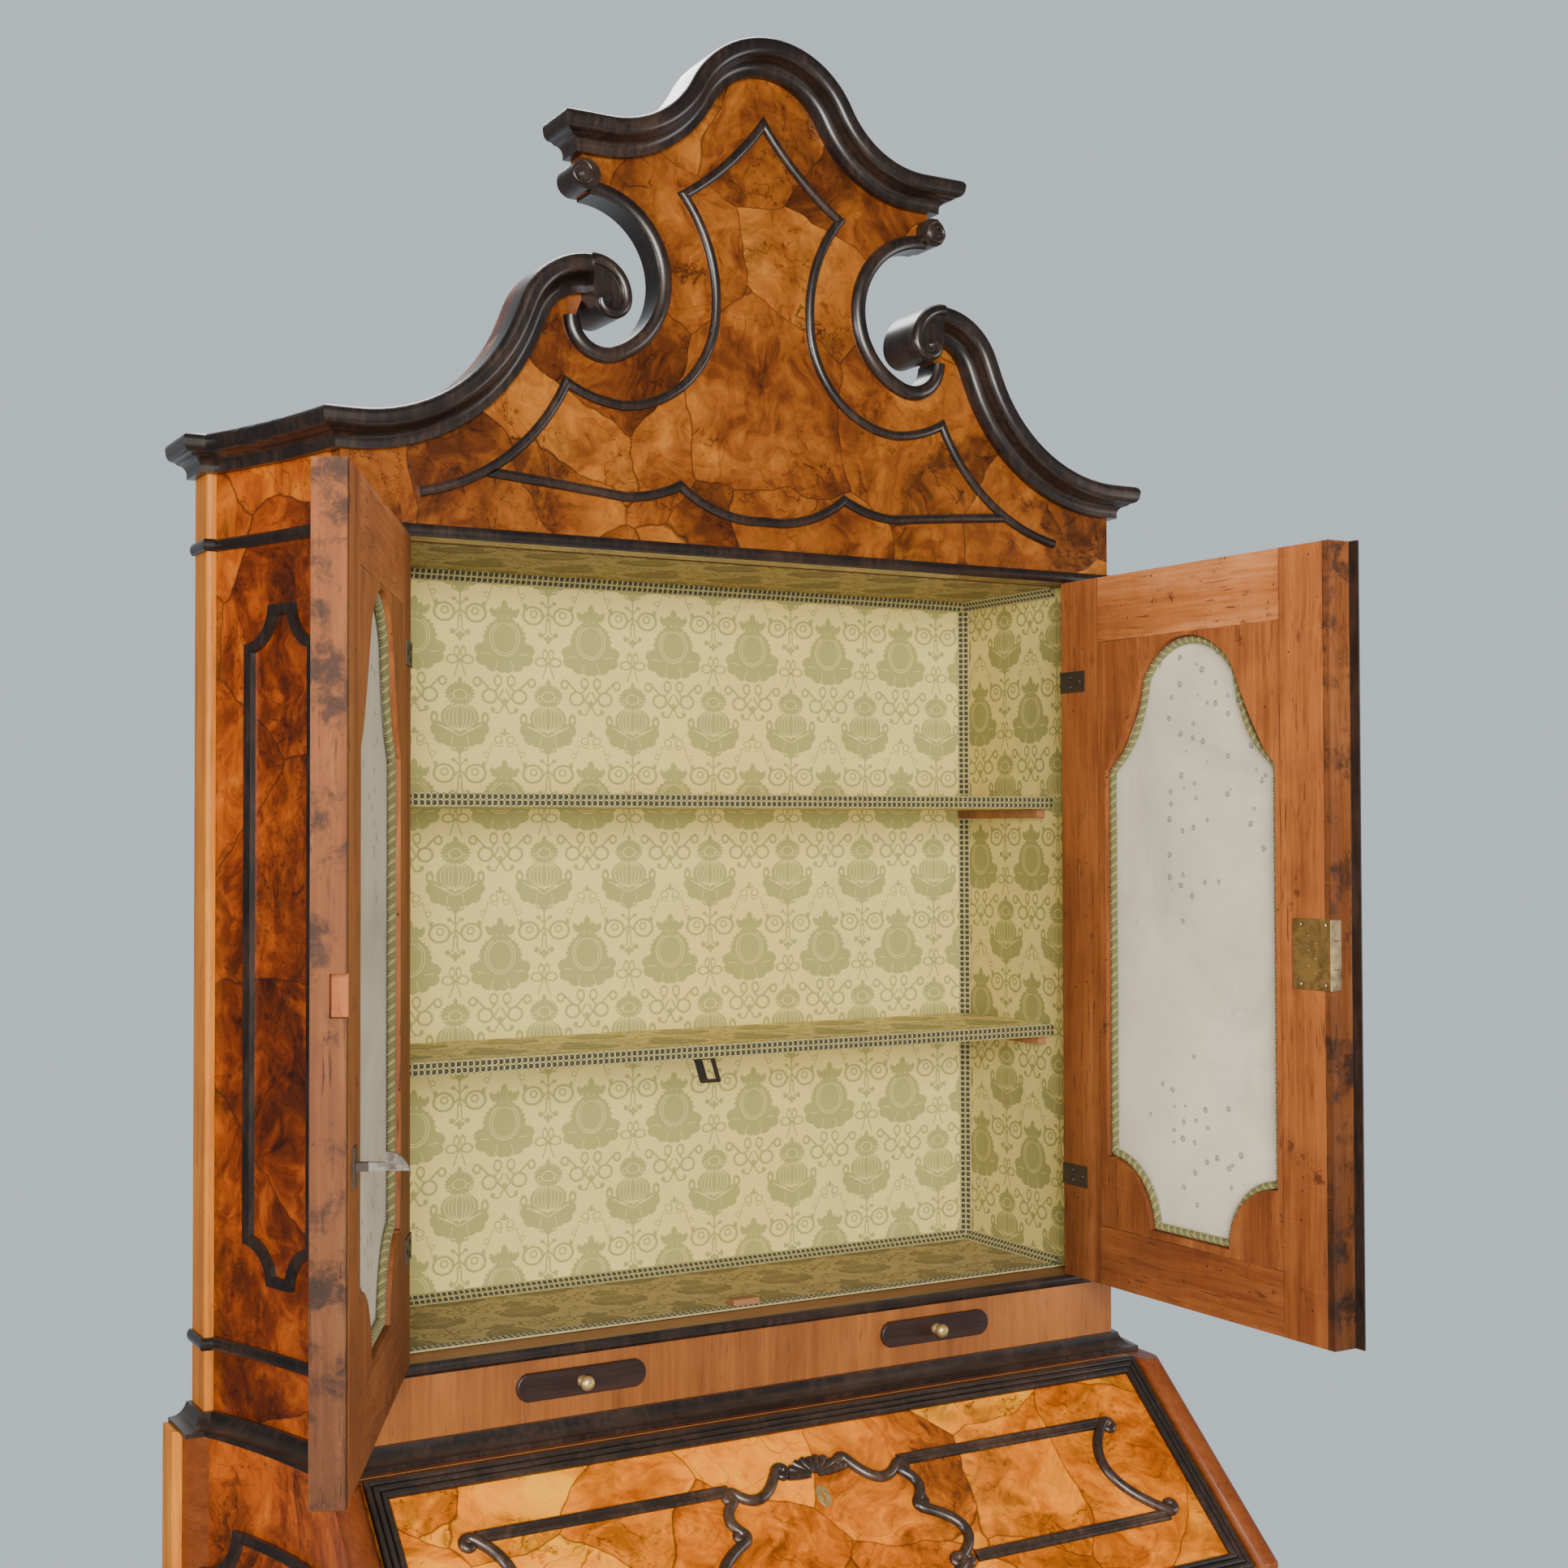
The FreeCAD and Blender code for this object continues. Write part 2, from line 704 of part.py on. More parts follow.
def pigeonholes():
    """A shelf with uprights above it, and every second upright carried down to the deck."""
    boards = [box(-bureau_inner_half, bureau_inner_half, gallery_front_y, bureau_back_front_y,
                  gallery_shelf_z, gallery_shelf_z + gallery_board)]
    for i in range(gallery_bays + 1):
        x = -bureau_inner_half + i * gallery_pitch
        boards.append(upright(x, gallery_shelf_z + gallery_board, bureau_height - bureau_top_board))
        if i % 2 == 0:
            boards.append(upright(x, fall_hinge_z, gallery_shelf_z))
    return Part.makeCompound(boards)


def small_drawer():
    x0 = gallery_pitch + gallery_board / 2 + slide_gap / 2
    x1 = bureau_inner_half - gallery_board - slide_gap / 2
    boards = drawer_boards(x0, x1, gallery_front_y, bureau_back_front_y - 4 * slide_gap,
                           fall_hinge_z + slide_seat, gallery_shelf_z - slide_gap,
                           2 * small_drawer_wall, small_drawer_wall, small_drawer_wall)
    at = Vector((x0 + x1) / 2, gallery_front_y, (fall_hinge_z + gallery_shelf_z) / 2)
    return Part.makeCompound(boards + [turned_knob(small_drawer_knob, 2 * small_drawer_knob, at)])


# Fall front, drawn in its own frame: x across, y up the inner face from the hinge, z outwards
def on_fall(shape):
    turned = shape.copy()
    turned.rotate(Vector(0, 0, 0), Vector(1, 0, 0), fall_angle)
    turned.translate(Vector(0, fall_hinge_y, fall_hinge_z))
    return turned


def fall_point(u, v):
    return Vector(u, fall_length - v, fall_thickness)


def fall_leaf(half):
    return box(fall_hinge_x - half, fall_hinge_x + half, 0, fall_leaf_width, 0, fall_leaf_thickness)


def fall_panel():
    panel = box(-fall_half, fall_half, 0, fall_length, 0, fall_thickness)
    barrel = rod(fall_knuckle_radius + pin_gap, fall_hinge_length + 2 * pin_gap,
                 Vector(fall_hinge_x, 0, 0), Vector(1, 0, 0))
    return on_fall(panel.cut(both(barrel)).cut(both(fall_leaf(fall_hinge_length / 2))))


def reeded_strip(length):
    """A straight run of rounded reeds along x; its outer edge is y = 0 and its inner edge below."""
    reed = fall_frame_width / fall_reeds
    shoulder = fall_frame_relief - reed * 0.45
    steps = [(0, 0), (0, shoulder)]
    for i in range(fall_reeds):
        steps.append(((i + 1) * reed, shoulder, (i + 0.5) * reed, fall_frame_relief))
    steps.append((fall_frame_width, 0))
    edges = profile_edges(steps, lambda p, q: Vector(-length / 2, -p, q))
    return prism(edges, Vector(length, 0, 0))


def mitred_strip(length):
    """A reeded strip cut at 45 degrees at both ends."""
    half, width = length / 2, fall_frame_width
    outline = [Vector(-half, 0, 0), Vector(half, 0, 0), Vector(half - width, -width, 0),
               Vector(-half + width, -width, 0)]
    return reeded_strip(length).common(prism(polygon(outline), Vector(0, 0, 2 * fall_frame_relief)))


def fall_frame():
    """A reeded border, mitred at its four corners."""
    axis = Vector(0, 0, 1)
    origin = Vector(0, 0, 0)
    across, tall = mitred_strip(2 * fall_half), mitred_strip(fall_length)
    top = across.translated(Vector(0, fall_length, fall_thickness))
    bottom = across.copy()
    bottom.rotate(origin, axis, 180)
    bottom.translate(Vector(0, 0, fall_thickness))
    right = tall.copy()
    right.rotate(origin, axis, -90)
    right.translate(Vector(fall_half, fall_length / 2, fall_thickness))
    return on_fall(Part.makeCompound([top, bottom, both(right)]))


def fall_ornament():
    """Carved bars, C scrolls, curled ends and a ribbed shell round the keyhole."""
    up = Vector(0, 0, 1)

    def bar(points):
        spots = [fall_point(u, v) for u, v in points]
        edge = line(*spots) if len(spots) == 2 else arc(*spots)
        return half_round([edge], ornament_width, ornament_relief, up)

    def curl(u, v):
        return Part.makeCone(ornament_ball, ornament_ball * 0.6, ornament_relief, fall_point(u, v), up)

    outer = fall_half - ornament_margin
    low = fall_length - ornament_foot
    strokes = [
        [(112, 80), (outer - 34, 80)], [(150, low), (outer - 8, low)],
        [(outer - 26, 78), (outer - 58, (73 + low) / 2), (outer, low - 5)],
        [(42, 66), (74, 96), (104, 84)], [(106, 92), (119, 110), (110, 132)],
        [(110, 138), (152, (137 + low) / 2), (132, low - 1)], [(130, low + 5), (78, low + 29), (22, low + 25)]]
    ends = [(outer - 26, 78), (outer, low - 5), (42, 66), (106, 88), (110, 136), (132, low + 1), (20, low + 25)]
    half = fused([bar(points) for points in strokes] + [curl(u, v) for u, v in ends])
    ribs = []
    for i in range(ornament_shell_ribs):
        angle = math.pi * (i + 0.5) / ornament_shell_ribs
        u = ornament_shell_half * math.cos(angle)
        v = ornament_shell_v - ornament_shell_half * 0.75 * math.sin(angle)
        ribs.append(bar([(u * 0.2, ornament_shell_v), (u, v)]))
    shell = fused(ribs + [curl(0, ornament_shell_v)])
    return on_fall(Part.makeCompound([fused([half, mirrored(half)]), shell]))


def fall_escutcheon():
    middle = fall_point(0, ornament_keyhole_v)
    ellipse = Part.Ellipse(middle, escutcheon_half_height, escutcheon_half_width).toShape()
    plate = Part.Face(Part.Wire([ellipse])).extrude(Vector(0, 0, escutcheon_thickness))
    plate.rotate(middle, Vector(0, 0, 1), 90)
    hole = Part.makeCylinder(keyhole_radius, 2 * escutcheon_thickness, middle)
    slot = box(-keyhole_radius / 2, keyhole_radius / 2, middle.y - keyhole_slot, middle.y,
               middle.z, middle.z + 2 * escutcheon_thickness)
    return on_fall(plate.cut(hole.fuse(slot)))


def fall_hinges():
    """Moving leaves with the middle knuckle; a bore runs over the fixed pin."""
    third = fall_hinge_length / 3
    centre = Vector(fall_hinge_x, 0, 0)
    axis = Vector(1, 0, 0)
    barrel = rod(fall_knuckle_radius, third - 2 * pin_gap, centre, axis)
    bore = rod(fall_knuckle_radius / 2 + pin_gap, 2 * third, centre, axis)
    return on_fall(both(fused([fall_leaf(third / 2 - pin_gap), barrel]).cut(bore)))


def deck_hinges():
    """Fixed leaves in the deck, the outer knuckles and the pin."""
    third = fall_hinge_length / 3
    axis = Vector(1, 0, 0)
    pieces = [rod(fall_knuckle_radius / 2, fall_hinge_length, fall_axis(fall_hinge_x), axis)]
    for side in (-1, 1):
        x = fall_hinge_x + side * third
        pieces.append(rod(fall_knuckle_radius, third, fall_axis(x), axis))
        pieces.append(box(x - third / 2, x + third / 2, fall_hinge_y, fall_hinge_y + fall_leaf_width,
                          fall_hinge_z - fall_leaf_thickness, fall_hinge_z))
    return both(fused(pieces))


# Cabinet carcase
def knuckle_rooms():
    """Room in the case's and the door's edges for the hinge knuckles."""
    length = 3 * knuckle_pitch + 2 * pin_gap
    return [rod(knuckle_radius + pin_gap, length, Vector(cabinet_inner_half, 0, z), Vector(0, 0, 1))
            for z in hinge_heights]


def cabinet_side():
    solid = side_solid(cabinet_outline, cabinet_corner, cabinet_rear, cabinet_inner_half,
                       bureau_height, cornice_corner_z)
    cuts = [box(0, cabinet_rear_half, 0, frieze_board, bureau_height, frieze_top),
            box(0, cabinet_rear_half, 0, pediment_thickness, opening_top, cornice_corner_z)]
    for cut in cuts + knuckle_rooms():
        solid = solid.cut(cut)
    return solid


def cabinet_bottom():
    half = cabinet_inner_half
    board = box(-half, half, frieze_board, cabinet_back_front_y,
                opening_bottom - cabinet_bottom_board, opening_bottom)
    return fused([board, box(-half, half, 0, frieze_board, frieze_top, opening_bottom)])


def cabinet_top():
    half = cabinet_inner_half
    ceiling = box(-half, half, pediment_thickness, cabinet_back_front_y, opening_top,
                  opening_top + cabinet_top_board)
    dust = ceiling.translated(Vector(0, 0, cornice_corner_z - cabinet_top_board - opening_top))
    return Part.makeCompound([ceiling, dust])


def candle_frieze():
    half = cabinet_front_half
    board = box(-half, half, 0, frieze_board, bureau_height, frieze_top)
    across = candle_board_width / 2 + slide_seat
    tall = candle_board / 2 + slide_seat
    slot = box(candle_x - across, candle_x + across, 0, frieze_board, candle_z - tall, candle_z + tall)
    return board.cut(both(slot))


def candle_slide():
    """A lozenge front on a narrow board."""
    half, tall = candle_front_width / 2, candle_front_height / 2
    nose = tall * 0.8
    x0, x1 = candle_x - half, candle_x + half
    front = -candle_front_relief - slide_seat
    a, b = Vector(x0 + nose, front, candle_z + tall), Vector(x1 - nose, front, candle_z + tall)
    c, d = Vector(x1 - nose, front, candle_z - tall), Vector(x0 + nose, front, candle_z - tall)
    lozenge = prism([line(a, b), arc(b, Vector(x1, front, candle_z), c), line(c, d),
                     arc(d, Vector(x0, front, candle_z), a)], Vector(0, candle_front_relief, 0))
    board = box(candle_x - candle_board_width / 2, candle_x + candle_board_width / 2, -slide_seat,
                candle_depth, candle_z - candle_board / 2, candle_z + candle_board / 2)
    return fused([lozenge, board])


def candle_knob():
    return turned_knob(candle_knob_radius, candle_knob_length,
                       Vector(candle_x, -candle_front_relief - slide_seat, candle_z))


def candle_runners():
    half = candle_board_width / 2 + candle_runner
    low = candle_z - candle_board / 2 - slide_seat
    runner = box(candle_x - half, candle_x + half, frieze_board, candle_depth, low - candle_runner, low)
    leg = box(candle_x - half, candle_x + half, candle_depth - candle_runner, candle_depth,
              bureau_height, low - candle_runner)
    return both(fused([runner, leg]))


def cabinet_lining():
    """Cloth on the back, the walls, the floor and the ceiling."""
    half, cloth, rear = cabinet_inner_half, lining_thickness, cabinet_back_front_y
    wall = box(half - cloth, half, lining_front_y, rear - cloth, opening_bottom, opening_top)
    back = box(-half, half, rear - cloth, rear, opening_bottom, opening_top)
    floor = box(-half + cloth, half - cloth, lining_front_y, rear - cloth,
                opening_bottom, opening_bottom + cloth)
    ceiling = floor.translated(Vector(0, 0, opening_height - cloth))
    return Part.makeCompound([both(wall), back, floor, ceiling])


def shelf(z):
    half = cabinet_inner_half - lining_thickness - shelf_end_gap
    rear = cabinet_back_front_y - lining_thickness - shelf_end_gap
    return box(-half, half, shelf_front_y, rear, z - shelf_thickness, z)


def shelf_cleats():
    """Small bearers under the shelf ends, and the block on the floor that stops the doors."""
    wall = cabinet_inner_half - lining_thickness
    rear = cabinet_back_front_y - lining_thickness
    cleats = []
    for z in (lower_shelf_z, upper_shelf_z):
        top = z - shelf_thickness
        cleats.append(both(box(wall - cleat_size, wall, shelf_front_y + cleat_size, rear,
                               top - cleat_size, top)))
    floor = opening_bottom + lining_thickness
    front = door_thickness + stop_room
    stop = box(-stop_width / 2, stop_width / 2, front, front + stop_depth, floor, floor + stop_height)
    return Part.makeCompound(cleats + [stop])


def hook_keeper():
    """A bent iron strap under the lower shelf, sloping forward, with a hole for the swinging hook."""
    top = lower_shelf_z - shelf_thickness
    x0 = -hook_x - keeper_width / 2
    thick = keeper_thickness
    points = [(shelf_front_y + keeper_leaf, top), (shelf_front_y, top), (keeper_front_y, top - keeper_drop),
              (keeper_front_y + thick, top - keeper_drop - thick), (shelf_front_y + thick, top - thick),
              (shelf_front_y + keeper_leaf, top - thick)]
    strap = prism(polygon([Vector(x0, y, z) for y, z in points]), Vector(keeper_width, 0, 0))
    middle, half = keeper_hole_shift - hook_x, keeper_hole_width / 2
    return strap.cut(box(middle - half, middle + half, keeper_front_y, shelf_front_y + 2 * thick,
                         top - keeper_drop + keeper_rim, top - thick))


# Pediment
neck_moves = [(neck_crown_radius, -neck_slope), (neck_straight,), (neck_foot_radius, neck_slope), (neck_lead,)]
crest_moves = [(crest_crown_radius, -crest_slope), (crest_foot_radius, crest_slope), (crest_flat,)]
scroll_moves = [(scroll_radius, scroll_sweep), (scroll_tail_radius, scroll_tail_sweep)]
crown = Vector(crown_x, 0, crown_z)
volute_heel = Vector(crown_x, 0, crown_z - volute_back_drop)
forward = Vector(0, -1, 0)


def front_sweep(path, profile):
    """Sweep (projection, rise) steps along a path in the front plane that heads to the right."""
    start = path[0].valueAt(path[0].FirstParameter)
    tangent = path[0].tangentAt(path[0].FirstParameter)
    rise = Vector(-tangent.z, 0, tangent.x)
    return smooth_sweep(path, profile_edges(profile, lambda p, q: start + forward * p + rise * q))


def pediment_board():
    neck, corner = trace((crown_x, crown_z), 0, neck_moves)
    crest, crest_end = trace((0, apex_z), 0, crest_moves)
    scroll, scroll_end = trace((scroll_start_x, scroll_start_z), 180, scroll_moves)
    scroll_start = Vector(scroll_start_x, 0, scroll_start_z)
    under_crest = Vector(crest_end_x, 0, scroll_start_z)
    foot = Vector(corner.x, 0, opening_top)
    half = crest + [line(crest_end, under_crest), line(under_crest, scroll_start)] + scroll
    half += [line(scroll_end, volute_heel), line(volute_heel, crown)] + neck
    half += [line(corner, foot), line(foot, Vector(0, 0, opening_top))]
    board = prism(half + [mirrored(edge) for edge in half], Vector(0, pediment_thickness, 0))
    roll = Part.makeCylinder(scroll_roll_radius, pediment_thickness, roll_centre, -forward)
    return board.cut(both(roll))


def cornice():
    side, _ = run_round(cabinet_outline, cabinet_corner, cabinet_rear, cabinet_flare_angle,
                        cornice_projection, cornice_profile, cornice_corner_z)
    neck, corner = trace((crown_x, crown_z), 0, neck_moves)
    beyond = line(corner, corner + Vector(2 * cornice_projection, 0, 0))
    front = front_sweep(neck + [beyond], cornice_profile)
    front = front.common(half_space(cabinet_corner, cabinet_mitre, False))
    return Part.makeCompound([both(side), both(front)])


def crest_cornice():
    """The shaped top moulding with a mitred return at each end."""
    crest, end = trace((0, apex_z), 0, crest_moves)
    beyond = line(end, end + Vector(2 * cornice_projection, 0, 0))
    corner = Vector(crest_end_x, 0, 0)
    mitre = Vector(1, -1, 0)
    half = front_sweep(crest + [beyond], cornice_profile).common(half_space(corner, mitre, False))
    start = Vector(crest_end_x, -2 * cornice_projection, crest_end_z)
    back = sweep([line(start, Vector(crest_end_x, pediment_thickness, crest_end_z))],
                 profile_edges(cornice_profile, lambda p, q: start + Vector(p, 0, q)))
    back = back.common(half_space(corner, mitre, True))
    return Part.makeCompound([fused([half, mirrored(half)]), both(back)])


def volute():
    """The rolled end of a swan neck, with a raised band that winds in to its eye."""
    edges, tail = trace((crown_x, crown_z), 180, [(r, 90) for r in volute_radii])
    edges += [line(tail, volute_heel), line(volute_heel, crown)]
    lift = forward * cornice_projection
    roll = prism(edges, Vector(0, cornice_projection + pediment_thickness, 0)).translated(lift)
    inset = volute_band + 1
    path, end = trace((crown_x, crown_z - inset), 180, [(r - inset, 90) for r in volute_radii])
    band = half_round([e.translated(lift) for e in path], 2 * volute_band, volute_band, forward)
    eye = Part.makeCone(volute_eye, volute_eye * 0.5, volute_band,
                        end + lift - Vector(volute_band, 0, 0), forward)
    return fused([roll, band, eye])


def scroll_edging():
    """The moulded edge of a C scroll, with a roll at its upper end."""
    path, _ = trace((scroll_start_x, scroll_start_z), 180, scroll_moves)
    wide, deep, back = scroll_width, scroll_relief, -pediment_thickness
    steps = [(back, scroll_lining), (deep * 0.6, scroll_lining), (deep * 0.3, -wide, deep, -wide * 0.45),
             (0, -wide), (0, 0), (back, 0)]
    edging = front_sweep(path, steps)
    relief = forward * scroll_roll_relief
    roll = Part.makeCylinder(scroll_roll_radius, pediment_thickness + scroll_roll_relief,
                             roll_centre + relief, -forward)
    button = Part.makeCone(scroll_roll_radius * 0.55, scroll_roll_radius * 0.3, scroll_button,
                           roll_centre + relief, forward)
    return fused([edging, roll, button])


def pediment_scrolls():
    return Part.makeCompound([both(volute()), both(scroll_edging())])


def bowed(a, b, bow):
    """An arc in the front plane that stands off the line from a to b, to its left where bow is positive."""
    chord = b - a
    left = Vector(-chord.z, 0, chord.x).normalize()
    return arc(a, (a + b) * 0.5 + left * bow, b)


def beyond(spot, heading):
    """A big block on the side of a plane through spot that heading points to."""
    size = 4000.0
    block = box(-size, size, -size, size, 0, size)
    block.Placement = FreeCAD.Placement(spot, FreeCAD.Rotation(Vector(0, 0, 1), heading))
    return block


def ends_of(edge):
    """First and last point of an edge, each with the heading there."""
    return [(edge.valueAt(t), edge.tangentAt(t)) for t in (edge.FirstParameter, edge.LastParameter)]


def cut_bead(edge, planes):
    """A bead along an arc, run on past both ends and cut by planes (spot, side to keep)."""
    extra = bead_width / edge.Curve.Radius
    longer = edge.Curve.toShape(edge.FirstParameter - extra, edge.LastParameter + extra)
    bead = half_round([longer], bead_width, bead_relief, forward)
    for spot, keep in planes:
        bead = bead.common(beyond(spot, keep))
    return bead


def mitred_beads(edges, first_cut, last_cut):
    """Beads along arcs that meet end to end, mitred where they meet."""
    planes = [[first_cut], *[[] for _ in edges[1:]]]
    for i, (before, after) in enumerate(zip(edges, edges[1:])):
        spot, heading = ends_of(before)[1]
        along = heading + ends_of(after)[0][1]
        planes[i].append((spot, -along))
        planes[i + 1].append((spot, along))
    planes[-1].append(last_cut)
    return [cut_bead(edge, cuts) for edge, cuts in zip(edges, planes)]


def pediment_bead():
    """The outline of a shield over a scalloped foot, with two long points to the sides."""
    def spots(places, x, z):
        return [Vector(x + across, 0, z + above) for across, above in places]

    middle = (Vector(0, 0, 0), Vector(1, 0, 0))
    shield = spots((bead_tip, bead_shoulder, bead_waist, bead_lobe, bead_horn), 0, crown_z)
    end, tail = spots((bead_end, bead_tail), cabinet_front_half, opening_top)
    upper = [bowed(*step) for step in zip(shield, shield[1:], bead_shield_bows)]
    upper.append(bowed(shield[-1], end, bead_end_bow))
    foot = [tail] + spots((bead_foot, bead_cusp, bead_keel), 0, opening_top)
    lower = [bowed(*step) for step in zip(foot, foot[1:], bead_foot_bows)]
    spot, heading = ends_of(upper[-1])[1]
    beads = mitred_beads(upper, middle, (spot, -heading))
    under = (tail - upper[-1].Curve.Center).normalize()
    edge_spot = upper[-1].Curve.Center + under * (upper[-1].Curve.Radius + bead_width / 2)
    beads += mitred_beads(lower, (edge_spot, under), middle)
    return both(Part.makeCompound(beads))


# Beads that frame the panels of the sides
def side_skin(outline, z0, z1):
    """A thin layer that lies on a curved side."""
    first = outline[0].valueAt(outline[0].FirstParameter)
    last = outline[-1].valueAt(outline[-1].LastParameter)
    shift = Vector(bead_relief, 0, 0)
    edges = outline + [e.translated(shift) for e in outline]
    edges += [line(first, first + shift), line(last, last + shift)]
    return prism(edges, Vector(0, 0, z1 - z0)).translated(Vector(0, 0, z0))


def ring(edges, x):
    """A band inside an outline in the side plane, long enough to pass through the side."""
    outer = face(edges)
    inner = outer.makeOffset2D(-bead_width)
    reach = 300.0
    return outer.cut(inner).extrude(Vector(reach, 0, 0)).translated(Vector(x - reach / 2, 0, 0))


def scoop(a, b, corner):
    """A hollow quarter circle about corner from a to b."""
    middle = (a + b) * 0.5 - corner
    return arc(a, corner + middle.normalize() * (a - corner).Length, b)


def cabinet_bead():
    y0, y1 = side_bead_front_y, side_bead_rear_y
    z0, z1 = opening_bottom + side_bead_bottom_rise, opening_top - side_bead_top_drop
    r = side_bead_notch
    corners = [Vector(0, y0, z0), Vector(0, y1, z0), Vector(0, y1, z1), Vector(0, y0, z1)]
    edges = []
    for i, corner in enumerate(corners):
        before = (corners[i - 1] - corner).normalize()
        after = (corners[(i + 1) % 4] - corner).normalize()
        nearest = corners[(i + 1) % 4] - after * r
        edges.append(scoop(corner + before * r, corner + after * r, corner))
        edges.append(line(corner + after * r, nearest))
    return ring(edges, cabinet_front_half).common(side_skin(cabinet_outline, z0, z1))


def bureau_bead():
    margin, r = bureau_bead_margin, bureau_bead_notch
    z0, z1 = foot_height + plinth_height + margin, bureau_height - margin * 1.2
    y0, y1 = bureau_front_y + margin * 0.8, bureau_flare_end_y - margin * 0.4
    inset_y = fall_top_y + margin / math.sin(slope)
    top_front = Vector(0, inset_y - (bureau_height - z1) / math.tan(slope), z1)
    knee = Vector(0, y0, bureau_height - (inset_y - y0) * math.tan(slope))
    top_rear, notch_low = Vector(0, y1 - r, z1), Vector(0, y1, z1 - r)
    points = [notch_low, Vector(0, y1, z0), Vector(0, y0, z0), knee, top_front, top_rear]
    edges = [line(a, b) for a, b in zip(points, points[1:])]
    edges.append(scoop(top_rear, notch_low, Vector(0, y1, z1)))
    return ring(edges, bureau_front_half).common(side_skin(bureau_outline, z0, z1))


# Doors: the right one is drawn closed; the left one is its mirror image with its own ironwork
def window(grow):
    """The shaped opening of the right door at a given distance outside its own line."""
    def at(x, z):
        return Vector(door_middle_x + x, 0, door_bottom + z)

    lobe = window_lobe
    lobe_start, lobe_end = at(window_half - lobe, window_bottom), at(window_half, window_bottom + lobe)
    shoulder = at(window_half - window_shoulder, window_side_top + window_shoulder)
    spring = at(window_arch_half, window_arch_spring)
    half = [line(at(0, window_bottom), lobe_start),
            scoop(lobe_start, lobe_end, at(window_half, window_bottom)),
            line(lobe_end, at(window_half, window_side_top)),
            line(at(window_half, window_side_top), shoulder),
            arc(shoulder, (shoulder + spring) * 0.5 - Vector(window_waist, 0, 0), spring)]
    other = [e.mirror(at(0, 0), Vector(1, 0, 0)) for e in half]
    arch = arc(spring, at(0, window_arch_top), at(-window_arch_half, window_arch_spring))
    outline = face(half + [arch] + other)
    return outline.makeOffset2D(grow) if grow else outline


def window_block(grow, y0, y1):
    return window(grow).extrude(Vector(0, y1 - y0, 0)).translated(Vector(0, y0, 0))


def door_boards(pockets):
    """Two stiles and two shaped rails round the window."""
    x0, x1 = door_meeting_gap, door_outer_x
    slab = box(x0, x1, 0, door_thickness, door_bottom, door_top)
    slab = slab.cut(window_block(0.0, window_lip, door_thickness))
    slab = slab.cut(window_block(-window_rebate, 0, window_lip))
    for pocket in knuckle_rooms() + pockets:
        slab = slab.cut(pocket)
    left = door_middle_x - window_half + window_rebate
    right = door_middle_x + window_half - window_rebate
    waist = door_bottom + (window_bottom + window_arch_top) / 2
    cells = [(x0, left, door_bottom, door_top), (right, x1, door_bottom, door_top),
             (left, right, door_bottom, waist), (left, right, waist, door_top)]
    return Part.makeCompound([slab.common(box(a, b, 0, door_thickness, c, d)) for a, b, c, d in cells])


def lock_case():
    return box(door_meeting_gap, door_meeting_gap + lock_width, door_thickness - lock_depth, door_thickness,
               lock_middle_z - lock_height / 2, lock_middle_z + lock_height / 2)


def bolt_block(x0, length, grow):
    half, tall = bolt_width / 2 + grow, bolt_height / 2 + grow
    return box(x0, x0 + length, lock_middle_y - half, lock_middle_y + half,
               lock_middle_z - tall, lock_middle_z + tall)


def right_door_frame():
    return door_boards([lock_case()])


def left_door_frame():
    return mirrored(door_boards([bolt_block(0, strike_depth, strike_room)]))


def door_mirror():
    return window_block(-mirror_gap, mirror_y, mirror_y + mirror_thickness)


def door_moulding():
    """A stepped border round the window on the door's face."""
    inner = window(-window_rebate)
    low = window(door_moulding_width - window_rebate).cut(inner)
    high = window(door_moulding_width * 0.6 - window_rebate).cut(inner)
    return fused([low.extrude(forward * door_moulding_relief * 0.5),
                  high.extrude(forward * door_moulding_relief)])


def door_cord():
    outline = window(-cord_gap).cut(window(-cord_gap - cord_size))
    return outline.extrude(-forward * cord_size).translated(
        Vector(0, mirror_y + mirror_thickness + cord_gap, 0))


def astragal():
    """A rounded strip on the right door's edge that covers the joint between the doors."""
    half, gap = astragal_width / 2, astragal_gap
    a = Vector(-half, -gap, door_bottom)
    b = Vector(half, -gap, door_bottom)
    nose = prism([line(a, b), arc(b, Vector(0, -astragal_relief, door_bottom), a)], Vector(0, 0, door_height))
    return fused([nose, box(door_meeting_gap, half, -gap, 0, door_bottom, door_top)])


def door_hinges():
    """A strap on the inner face that turns round the edge to the middle knuckle."""
    pieces = []
    x1 = door_outer_x + hinge_strap_thickness
    y1 = door_thickness + hinge_leaf_thickness
    axis = Vector(0, 0, 1)
    half = knuckle_height / 2
    for z in hinge_heights:
        centre = Vector(cabinet_inner_half, 0, z)
        leaf = box(x1 - hinge_leaf_width, x1, door_thickness, y1,
                   z - hinge_leaf_height / 2, z + hinge_leaf_height / 2)
        strap = box(door_outer_x, x1, 0, y1, z - half, z + half)
        barrel = rod(knuckle_radius, knuckle_height, centre, axis)
        bore = rod(pin_radius + pin_gap, 2 * knuckle_height, centre, axis)
        pieces.append(fused([leaf, strap, barrel]).cut(bore))
    return Part.makeCompound(pieces)


